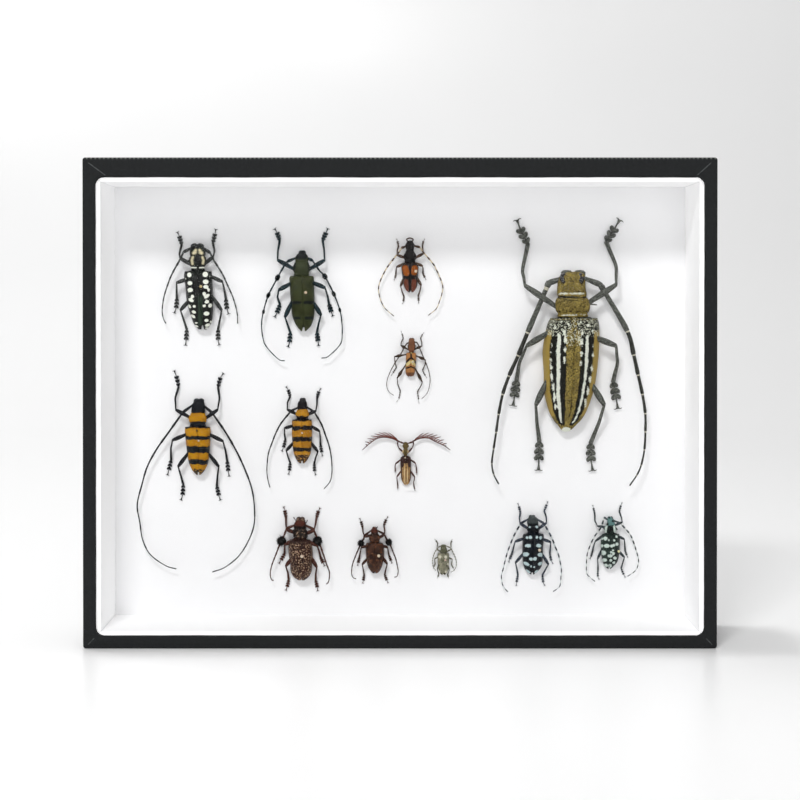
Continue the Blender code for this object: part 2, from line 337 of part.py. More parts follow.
        [[(-2.4, 8.0), (-6.4, 5.3), (-9.8, -0.8), (-12.0, -6.2), (-13.4, -10.1), (-14.4, -13.9),
          (-15.4, -18.1), (-16.3, -21.6), (-15.9, -25.7), (-14.7, -28.0), (-13.0, -29.9)],
         [(1.7, 8.1), (5.4, 5.3), (9.3, -1.7), (11.4, -7.0), (13.0, -11.0), (13.8, -14.6),
          (14.4, -18.4), (14.2, -22.6), (13.7, -26.8), (12.1, -28.5), (10.2, -29.7)]],
        (0.6, 0.35, 0.48, 0.48, 0.3), pin=(3.25, -8.5), bead=0.75,
        colour=(0.015, 0.02, 0.03, 1)),
    Beetle(
        "beetle_teal_spotted", (108.06, 50.02), 1.2,
        [(9.0, -1.2, 0.2, 3.4), (8.2, -1.6, 1.1, 4.3), (7.2, -1.8, 1.9, 5.2), (5.8, -1.9, 2.2, 5.6),
         (4.4, -2.5, 2.3, 5.4), (3.0, -3.4, 3.1, 5.9), (0.7, -3.0, 2.5, 4.9), (0.2, -4.3, 4.3, 4.7),
         (-1.7, -5.0, 4.75, 6.4), (-6.5, -5.1, 4.65, 7.2), (-11.0, -4.8, 4.3, 6.9),
         (-14.4, -4.0, 3.3, 5.8), (-16.6, -2.8, 1.3, 4.1), (-17.7, -1.6, 0.2, 2.9)],
        [[(-3.2, 3.7), (-6.8, 4.2), (-8.1, 7.0), (-8.2, 10.6), (-8.8, 13.2), (-9.2, 14.9)],
         [(2.4, 4.7), (5.9, 6.2), (5.5, 8.6), (4.4, 11.7), (5.0, 14.2), (5.9, 16.3)],
         [(-4.5, -1.0), (-7.9, -3.6), (-8.7, -6.0), (-9.3, -8.8), (-9.9, -11.0), (-10.6, -12.7)],
         [(4.5, -1.3), (7.0, -2.6), (7.3, -5.4), (7.4, -8.3), (8.1, -10.3), (8.8, -11.9)],
         [(-5.0, -8.8), (-6.7, -12.7), (-6.5, -15.6), (-6.5, -18.4), (-6.6, -21.4), (-5.8, -23.3)],
         [(4.5, -9.1), (7.1, -11.9), (6.3, -14.4), (5.4, -17.6), (6.6, -20.4), (7.6, -22.2)]],
        [[(-1.2, 7.0), (-3.5, 8.7), (-3.9, 6.6), (-5.1, 3.3), (-8.5, -1.5), (-10.6, -6.0),
          (-11.9, -9.8), (-12.4, -14.6), (-12.2, -20.1), (-10.2, -22.4), (-8.1, -24.2)],
         [(1.6, 7.3), (5.0, 5.6), (9.8, 0.1), (11.8, -4.3), (12.9, -7.7), (13.8, -10.8),
          (14.3, -13.9), (13.5, -17.5), (11.5, -19.8), (8.7, -21.6)]],
        (0.5, 0.32, 0.4, 0.42, 0.28), pin=(4.2, -8.8), bead=0.65,
        colour=(0.02, 0.03, 0.032, 1)),
]


def empty_scene():
    """Clear the scene and return the collections for the pieces and for the cutters."""
    for leftover in list(bpy.data.objects):
        bpy.data.objects.remove(leftover, do_unlink=True)
    homes = []
    for title in ("specimen_box", "cutters"):
        home = bpy.data.collections.new(title)
        bpy.context.scene.collection.children.link(home)
        homes.append(home)
    return homes


def paint(piece, colour, roughness, metallic=0.0):
    """Give a piece its own plain finish."""
    finish = bpy.data.materials.new(piece.name)
    finish.use_nodes = True
    shader = finish.node_tree.nodes["Principled BSDF"]
    shader.inputs["Base Color"].default_value = colour
    shader.inputs["Roughness"].default_value = roughness
    shader.inputs["Metallic"].default_value = metallic
    piece.data.materials.append(finish)


def piece_from(name, form, home, guide=False):
    """Turn a bmesh into a named object; a guide is a cutter or a limb that is joined to its beetle."""
    mesh = bpy.data.meshes.new(name)
    form.to_mesh(mesh)
    form.free()
    piece = bpy.data.objects.new(name, mesh)
    home.objects.link(piece)
    if guide:
        piece.hide_render = True
        piece.display_type = "WIRE"
    return piece


def block(low, high):
    """Box between two corners, given in mm."""
    form = bmesh.new()
    bmesh.ops.create_cube(form, size=1)
    for corner in form.verts:
        corner.co = [(a + (b - a) * (c + 0.5)) * MM for a, b, c in zip(low, high, corner.co)]
    return form


def boolean(piece, operation, other=None, group=None):
    """Cut or join a piece with another object, or with every object of a group."""
    step = piece.modifiers.new(operation.lower(), "BOOLEAN")
    step.operation = operation
    step.solver = "EXACT"
    if group:
        step.operand_type = "COLLECTION"
        step.collection = group
    else:
        step.object = other


def tube(name, points, radii, home, resolution=0):
    """Round limb through the points, made a mesh with its caps welded; radii in mm.

    Every tube is drawn before the first Boolean is added, so that nothing is worked out twice.
    """
    curve = bpy.data.curves.new(name, "CURVE")
    curve.dimensions = "3D"
    curve.bevel_depth = MM
    curve.bevel_resolution = resolution
    curve.use_fill_caps = True
    spline = curve.splines.new("POLY")
    spline.points.add(len(points) - 1)
    for knot, point, radius in zip(spline.points, points, radii):
        knot.co = (*point, 1)
        knot.radius = radius
    drawn = bpy.data.objects.new(name + "_line", curve)
    home.objects.link(drawn)
    bpy.context.view_layer.update()
    mesh = bpy.data.meshes.new_from_object(drawn.evaluated_get(bpy.context.evaluated_depsgraph_get()))
    form = bmesh.new()
    form.from_mesh(mesh)
    bmesh.ops.remove_doubles(form, verts=form.verts, dist=0.000002)
    bmesh.ops.triangulate(form, faces=form.faces)
    bmesh.ops.recalc_face_normals(form, faces=form.faces)
    limb = piece_from(name, form, home, guide=True)
    limb.matrix_world = drawn.matrix_world
    bpy.data.objects.remove(drawn, do_unlink=True)
    bpy.data.meshes.remove(mesh)
    return limb


def body_form(beetle):
    """Body from head to tail: a UV sphere with its rings set on the stations."""
    rings = len(beetle.stations)
    form = bmesh.new()
    sides = TALL_SIDES if beetle.peak > TALL_BODY else FLAT_SIDES
    bmesh.ops.create_uvsphere(form, u_segments=sides, v_segments=rings + 1, radius=1)
    for corner in form.verts:
        ring = round(math.acos(max(-1, min(1, corner.co.z))) / math.pi * (rings + 1))
        station = beetle.stations[min(max(ring, 1), rings) - 1]
        v, left, right, top = station
        low = beetle.low(top)
        middle = (left + right) / 2
        if ring in (0, rings + 1):
            tip = GAP if ring == 0 else -GAP
            corner.co = beetle.place(middle, v + tip, (low + top) / 2)
            continue
        turn = math.atan2(corner.co.y, corner.co.x)
        u = middle + (right - left) / 2 * math.cos(turn)
        height = (low + top) / 2 + (top - low) / 2 * math.sin(turn)
        corner.co = beetle.place(u, v, height)
    bmesh.ops.triangulate(form, faces=form.faces)
    bmesh.ops.recalc_face_normals(form, faces=form.faces)
    return form


def leg(beetle, number, route, group):
    """One leg: thigh out of the body, shin down to the panel, widened foot and thin claw."""
    hip, knee, shin, ankle, foot, claw = (Vector(point) for point in route)
    half_width = max(right - left for _, left, right, _ in beetle.stations) / 2
    under = hip + (hip - knee).normalized() * half_width * HIP_INSET
    knee_height = beetle.peak * KNEE_HEIGHT
    foot_height = beetle.foot + FOOT_CLEAR + beetle.lift
    route = [
        (under, beetle.peak * HIP_HEIGHT, HIP_THICK * beetle.femur),
        (knee, knee_height, beetle.femur),
        (ankle, foot_height, ANKLE_THICK * beetle.shin),
        (foot, foot_height, beetle.foot),
        (claw, foot_height, CLAW_THICK * beetle.foot),
    ]
    if beetle.peak > TALL_BODY:
        route.insert(2, (shin, (knee_height + foot_height) / 2, beetle.shin))
    if beetle.peak < FLAT_BODY:
        del route[3]
    points = [beetle.place(point.x, point.y, height) for point, height, _ in route]
    tube(f"{beetle.name}_leg_{number}", points, [radius for _, _, radius in route], group)


def feeler(beetle, number, route, group):
    """One antenna: thick first joint, then a lash that thins and sinks towards its tip."""
    brow = beetle.stations[2]
    base = brow[3] * BROW_HEIGHT
    fall = beetle.peak * LASH_HEIGHT - base
    (first_u, first_v), *rest = route
    skip = 1 if beetle.tufts else 2
    root = (first_u + ((brow[1] + brow[2]) / 2 - first_u) * BROW_INSET, first_v)
    route = [root, rest[0], *rest[1:-1:skip], rest[-1]]
    points = []
    radii = []
    for step, (u, v) in enumerate(route):
        along = step / (len(route) - 1)
        points.append(beetle.place(u, v, base + fall * min(1, along * LASH_FALL)))
        thin = beetle.lash * (LASH_BASE_THICK + (LASH_TIP_THICK - LASH_BASE_THICK) * along)
        radii.append(beetle.scape if step < 2 else thin)
    tube(f"{beetle.name}_feeler_{number}", points, radii, group)


def spike(beetle, number, route, group):
    """Side spine of the thorax, or the ring of the jaws."""
    points = [beetle.place(u, v, beetle.peak * SPIKE_HEIGHT) for u, v in route]
    tube(f"{beetle.name}_spike_{number}", points, [SPIKE_RADIUS] * len(points), group)


def tuft(beetle, number, ends, group):
    """Knot of dense hair round an antenna joint."""
    start, stop, radius = ends
    height = beetle.peak * LASH_HEIGHT
    middle = [(a + b) / 2 for a, b in zip(start, stop)]
    points = [beetle.place(*start, height), beetle.place(*middle, height), beetle.place(*stop, height)]
    tube(f"{beetle.name}_tuft_{number}", points, [radius * TUFT_ENDS, radius, radius * TUFT_ENDS], group)


def pin_axis(beetle):
    """Where the pin stands, as (x, z) in mm, and the height of its bead."""
    rise = beetle.peak + PIN_PROUD if beetle.bead else beetle.peak * BURIED_PIN_HEIGHT
    top = beetle.place(*beetle.pin, rise) / MM
    return top.x, top.z, rise


def pin(beetle, group):
    """Straight pin through the body into the panel, with its bead."""
    x, z, rise = pin_axis(beetle)
    foot = Vector((x, PANEL_Y + PIN_DEPTH, z)) * MM
    head = Vector((x, PANEL_Y - rise, z)) * MM
    tube(beetle.name + "_pin", [foot, head], [PIN_RADIUS, PIN_RADIUS], group)
    if beetle.bead:
        form = bmesh.new()
        bmesh.ops.create_icosphere(form, subdivisions=1, radius=beetle.bead * MM)
        bmesh.ops.translate(form, vec=head, verts=form.verts)
        piece_from(beetle.name + "_bead", form, group, guide=True)


def specimen(beetle, home, cutters):
    """One beetle with its legs, antennae and pin grown together."""
    group = bpy.data.collections.new(beetle.name + "_limbs")
    cutters.children.link(group)
    body = piece_from(beetle.name, body_form(beetle), home)
    for number, route in enumerate(beetle.legs):
        leg(beetle, number, route, group)
    for number, route in enumerate(beetle.feelers):
        feeler(beetle, number, route, group)
    for number, route in enumerate(beetle.spines):
        spike(beetle, number, route, group)
    for number, ends in enumerate(beetle.tufts):
        tuft(beetle, number, ends, group)
    pin(beetle, group)
    paint(body, beetle.colour, 0.4)
    return body, group


def base_tray(home, cutters):
    """Back board with four walls, open to the front."""
    half = BOX_WIDTH / 2
    tray = piece_from("base_tray", block((-half, SEAM_Y, 0), (half, BACK_Y, BOX_HEIGHT)), home)
    hollow = block((-half + SIDE_WALL, SEAM_Y - 1, FOOT_WALL),
                   (half - SIDE_WALL, BACK_Y - BACK_BOARD, BOX_HEIGHT - TOP_WALL))
    boolean(tray, "DIFFERENCE", piece_from("tray_hollow", hollow, cutters, guide=True))
    paint(tray, (0.02, 0.02, 0.021, 1), 0.8)


def lid_frame(home, cutters):
    """Shallow lid with a round-cornered window."""
    half = BOX_WIDTH / 2
    lid = piece_from("lid_frame", block((-half, FRONT_Y, 0), (half, SEAM_Y - GAP, BOX_HEIGHT)), home)
    pocket = block((-half + SIDE_WALL, FRONT_Y + LID_FACE, FOOT_WALL),
                   (half - SIDE_WALL, SEAM_Y + 1, BOX_HEIGHT - TOP_WALL))
    boolean(lid, "DIFFERENCE", piece_from("lid_pocket", pocket, cutters, guide=True))
    window = block((-WINDOW_HALF_WIDTH, FRONT_Y - 1, WINDOW_LOW),
                   (WINDOW_HALF_WIDTH, FRONT_Y + LID_FACE + 1, WINDOW_HIGH))
    edges = [e for e in window.edges if abs(e.verts[0].co.y - e.verts[1].co.y) > MM]
    bmesh.ops.bevel(window, geom=edges, offset=WINDOW_CORNER * MM, segments=4, profile=0.5,
                    affect="EDGES", material=-1)
    boolean(lid, "DIFFERENCE", piece_from("window", window, cutters, guide=True))
    paint(lid, (0.02, 0.02, 0.021, 1), 0.8)


def liner(home, cutters):
    """White wall round the inside, whose front edge shows as the lip."""
    low = (-SIDE_LIP_OUTER, LINER_FRONT_Y, LINER_LOW)
    high = (SIDE_LIP_OUTER, PANEL_BACK_Y, LINER_HIGH)
    wall = piece_from("liner", block(low, high), home)
    hollow = block((low[0] + LINER_SIDE, low[1] - 1, low[2] + LINER_SIDE),
                   (high[0] - LINER_SIDE, high[1] + 1, high[2] - LINER_TOP))
    boolean(wall, "DIFFERENCE", piece_from("liner_hollow", hollow, cutters, guide=True))
    paint(wall, (0.85, 0.85, 0.85, 1), 0.6)


def glass_pane(home):
    """Clear pane between the lid face and the liner's lip."""
    front = FRONT_Y + LID_FACE + GAP
    form = block((-SIDE_LIP_OUTER, front, LINER_LOW), (SIDE_LIP_OUTER, front + GLASS_THICK, LINER_HIGH))
    pane = piece_from("glass_pane", form, home)
    paint(pane, (0.95, 0.97, 0.97, 1), 0.05)


def foam_panel(home, cutters):
    """Pinning panel inside the liner, and the group of cutters for a hole round each pin."""
    side = SIDE_LIP_OUTER - LINER_SIDE - GAP
    low = (-side, PANEL_Y, LINER_LOW + LINER_SIDE + GAP)
    high = (side, PANEL_BACK_Y, LINER_HIGH - LINER_TOP - GAP)
    panel = piece_from("foam_panel", block(low, high), home)
    holes = bpy.data.collections.new("pin_holes")
    cutters.children.link(holes)
    for beetle in BEETLES:
        x, z, _ = pin_axis(beetle)
        ends = [Vector((x, y, z)) * MM for y in (PANEL_Y - 1, PANEL_Y + PIN_DEPTH + GAP)]
        radius = PIN_RADIUS + GAP
        tube(beetle.name + "_hole", ends, [radius, radius], holes)
    paint(panel, (0.85, 0.85, 0.86, 1), 0.9)
    return panel, holes


def paper_slip(home):
    """Small card laid on the panel under the feather-horned beetle's tail."""
    owner = next(beetle for beetle in BEETLES if beetle.name == "beetle_feather_horned")
    x, z = owner.spot
    form = block((x + SLIP_U[0], PANEL_Y - SLIP_TOP, z + SLIP_V[0]),
                 (x + SLIP_U[1], PANEL_Y - GAP, z + SLIP_V[1]))
    slip = piece_from("paper_slip", form, home)
    paint(slip, (0.9, 0.9, 0.9, 1), 0.7)


def main():
    home, cutters = empty_scene()
    panel, holes = foam_panel(home, cutters)
    joints = [specimen(beetle, home, cutters) for beetle in BEETLES]
    base_tray(home, cutters)
    lid_frame(home, cutters)
    liner(home, cutters)
    glass_pane(home)
    paper_slip(home)
    boolean(panel, "DIFFERENCE", group=holes)
    for body, group in joints:
        boolean(body, "UNION", group=group)


main()
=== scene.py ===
"""Looks of a beetle specimen box: black bookcloth, white lining, a clear pane, thirteen pinned beetles."""

import math
import random

import bmesh
import bpy
import numpy as np
from mathutils import Matrix, Vector


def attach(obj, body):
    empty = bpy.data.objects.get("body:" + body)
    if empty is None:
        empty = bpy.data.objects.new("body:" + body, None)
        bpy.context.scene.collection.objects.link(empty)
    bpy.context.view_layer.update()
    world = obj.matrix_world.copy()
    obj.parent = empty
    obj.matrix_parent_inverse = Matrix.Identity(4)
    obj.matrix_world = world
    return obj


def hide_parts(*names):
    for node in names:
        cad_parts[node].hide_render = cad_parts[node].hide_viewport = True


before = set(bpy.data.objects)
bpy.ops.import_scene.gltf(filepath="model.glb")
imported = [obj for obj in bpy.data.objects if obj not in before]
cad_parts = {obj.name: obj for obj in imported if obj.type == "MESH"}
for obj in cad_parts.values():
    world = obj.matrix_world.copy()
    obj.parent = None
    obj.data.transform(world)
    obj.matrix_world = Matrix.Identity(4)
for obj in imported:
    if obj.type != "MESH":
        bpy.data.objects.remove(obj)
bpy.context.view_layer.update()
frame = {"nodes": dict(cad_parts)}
dice = random.Random(7)

MM = 0.001
GAP = 0.3

# Box, in mm
HALF_WIDTH = 155.0
HEIGHT = 240.0
FRONT_Y = -27.0
BACK_Y = 27.0
SEAM_Y = -8.7
SIDE_WALL = 4.7
FOOT_WALL = 4.2
TOP_WALL = 8.4
BACK_BOARD = 3.0
LID_FACE = 2.0
WINDOW_HALF_WIDTH = 148.8
WINDOW_LOW = 6.15
WINDOW_HIGH = 230.3
WINDOW_CORNER = 4.0
LIP_OUTER = 150.0
LINER_LOW = 4.5
LINER_HIGH = 231.3
LINER_WALL = 2.8
LINER_FRONT_Y = -22.4
PANEL_Y = 16.0
PANEL_BACK_Y = 23.7

# Where the specimens were read from, and how they stand
EYE_Z = 175.3
EYE_TO_PANEL = 780.0
READ_HEIGHT = 6.0
PIN_DEPTH = 5.5
PIN_PROUD = 2.5
PIN_RADIUS = 0.25
HIP_HEIGHT = 0.45
KNEE_HEIGHT = 0.55
SPIKE_HEIGHT = 0.5
LASH_HEIGHT = 0.45
BROW_HEIGHT = 0.7
BURIED_PIN_HEIGHT = 0.7
BELLY_RISE = 0.25
HIP_INSET = 0.6
BROW_INSET = 0.4
LASH_FALL = 1.6
FOOT_CLEAR = 0.4
SLIP_TOP = 0.7
PRESSED = 0.02
# Painted glow of the lining card, standing in for light: faint on its walls, stronger on its front lip
WALL_PAINTED_GLOW = (0.11, 0.11, 0.11, 1)
LIP_PAINTED_GLOW = (0.6, 0.6, 0.6, 1)
NO_TAIL = -99.0
UNMARKED = -5.0
FEATHER_HEIGHT = 2.5
FEATHER_TEETH_FULL = 14
FEATHER_TEETH_CUT = 0.55
TUFT_HAIRS = 640
HAIR_ROOT = 0.14
HAIR_TIP = 0.03
GRANULE_SIZES = (0.14, 0.28)
FOOT_STEPS = 60
FEELER_JOINTS = 10
THREAD_PITCH = 0.9
RIM_DOT_PITCH = 2.1
FOCUS_PX = 1510.6
PHOTO_PX = 800
SENSOR = 36
HORIZON_ABOVE_MIDDLE_PX = 110
TRAITS = ("across", "down", "pale", "dark", "third", "fleck")
BUFFER = bpy.data.meshes.new("buffer")


def smooth(points, gaps):
    """Smooth curve through listed rows, with so many steps to each gap."""
    rows = np.array(points, float)
    rows = np.vstack([2 * rows[0] - rows[1], rows, 2 * rows[-1] - rows[-2]])
    t = np.linspace(0, 1, gaps, endpoint=False)[:, None]
    found = []
    for a, b, c, d in zip(rows, rows[1:], rows[2:], rows[3:]):
        found.append((2 * b + (c - a) * t + (2 * a - 5 * b + 4 * c - d) * t**2
                      + (3 * b - a - 3 * c + d) * t**3) / 2)
    return np.vstack([*found, rows[-2]])


def even(line, count):
    """The same curve with its points evenly spaced."""
    steps = np.linalg.norm(np.diff(line[:, :3], axis=0), axis=1)
    run = np.concatenate([[0], np.cumsum(steps)])
    wanted = np.linspace(0, run[-1], count)
    return np.stack([np.interp(wanted, run, column) for column in line.T], axis=1)


class Beetle:
    """Measures of one specimen, in mm from the middle of its wing-case base, u across and v up.

    Stations are (v, left edge, right edge, top height). Legs are (hip, knee, shin, ankle, foot, claw).
    Feelers run from the head outwards. Heights are above the panel.
    """

    def __init__(self, name, spot, belly, stations, legs, feelers, thick, pin, bead=0.75,
                 spines=(), tufts=(), lift=0.0):
        self.name = name
        self.spot = spot
        self.belly = belly
        self.stations = stations
        self.legs = legs
        self.feelers = feelers
        self.femur, self.shin, self.foot, self.scape, self.lash = thick
        self.pin = pin
        self.bead = bead
        self.spines = spines
        self.tufts = tufts
        self.lift = lift
        self.peak = max(top for _, _, _, top in stations)
        self.rows = np.array(stations)

    def place(self, u, v, height):
        """World place in metres of a point read in the view, carried along the sight line to its height."""
        reach = (EYE_TO_PANEL - height) / (EYE_TO_PANEL - READ_HEIGHT)
        x = (self.spot[0] + u) * reach
        z = EYE_Z + (self.spot[1] + v - EYE_Z) * reach
        return Vector((x, PANEL_Y - height, z)) * MM

    def low(self, top):
        """Underside height at a station, rising towards the thin ends."""
        return self.belly + BELLY_RISE * (self.peak - top)

    def edges(self, v):
        """Left edge, right edge and suture of the body at v."""
        left, right = (np.interp(-v, -self.rows[:, 0], self.rows[:, k]) for k in (1, 2))
        seam = LOOKS[self.name].seam
        if seam is None:
            return left, right, (left + right) / 2
        return left, right, np.interp(-v, [-row[0] for row in seam], [row[1] for row in seam])

    def share(self, u, v):
        """How far a point lies from the suture towards the wing case's edge, 0 to 1, and the case's width."""
        left, right, seam = self.edges(v)
        width = np.where(u < seam, seam - left, right - seam)
        return np.abs(u - seam) / np.maximum(width, 0.1), width


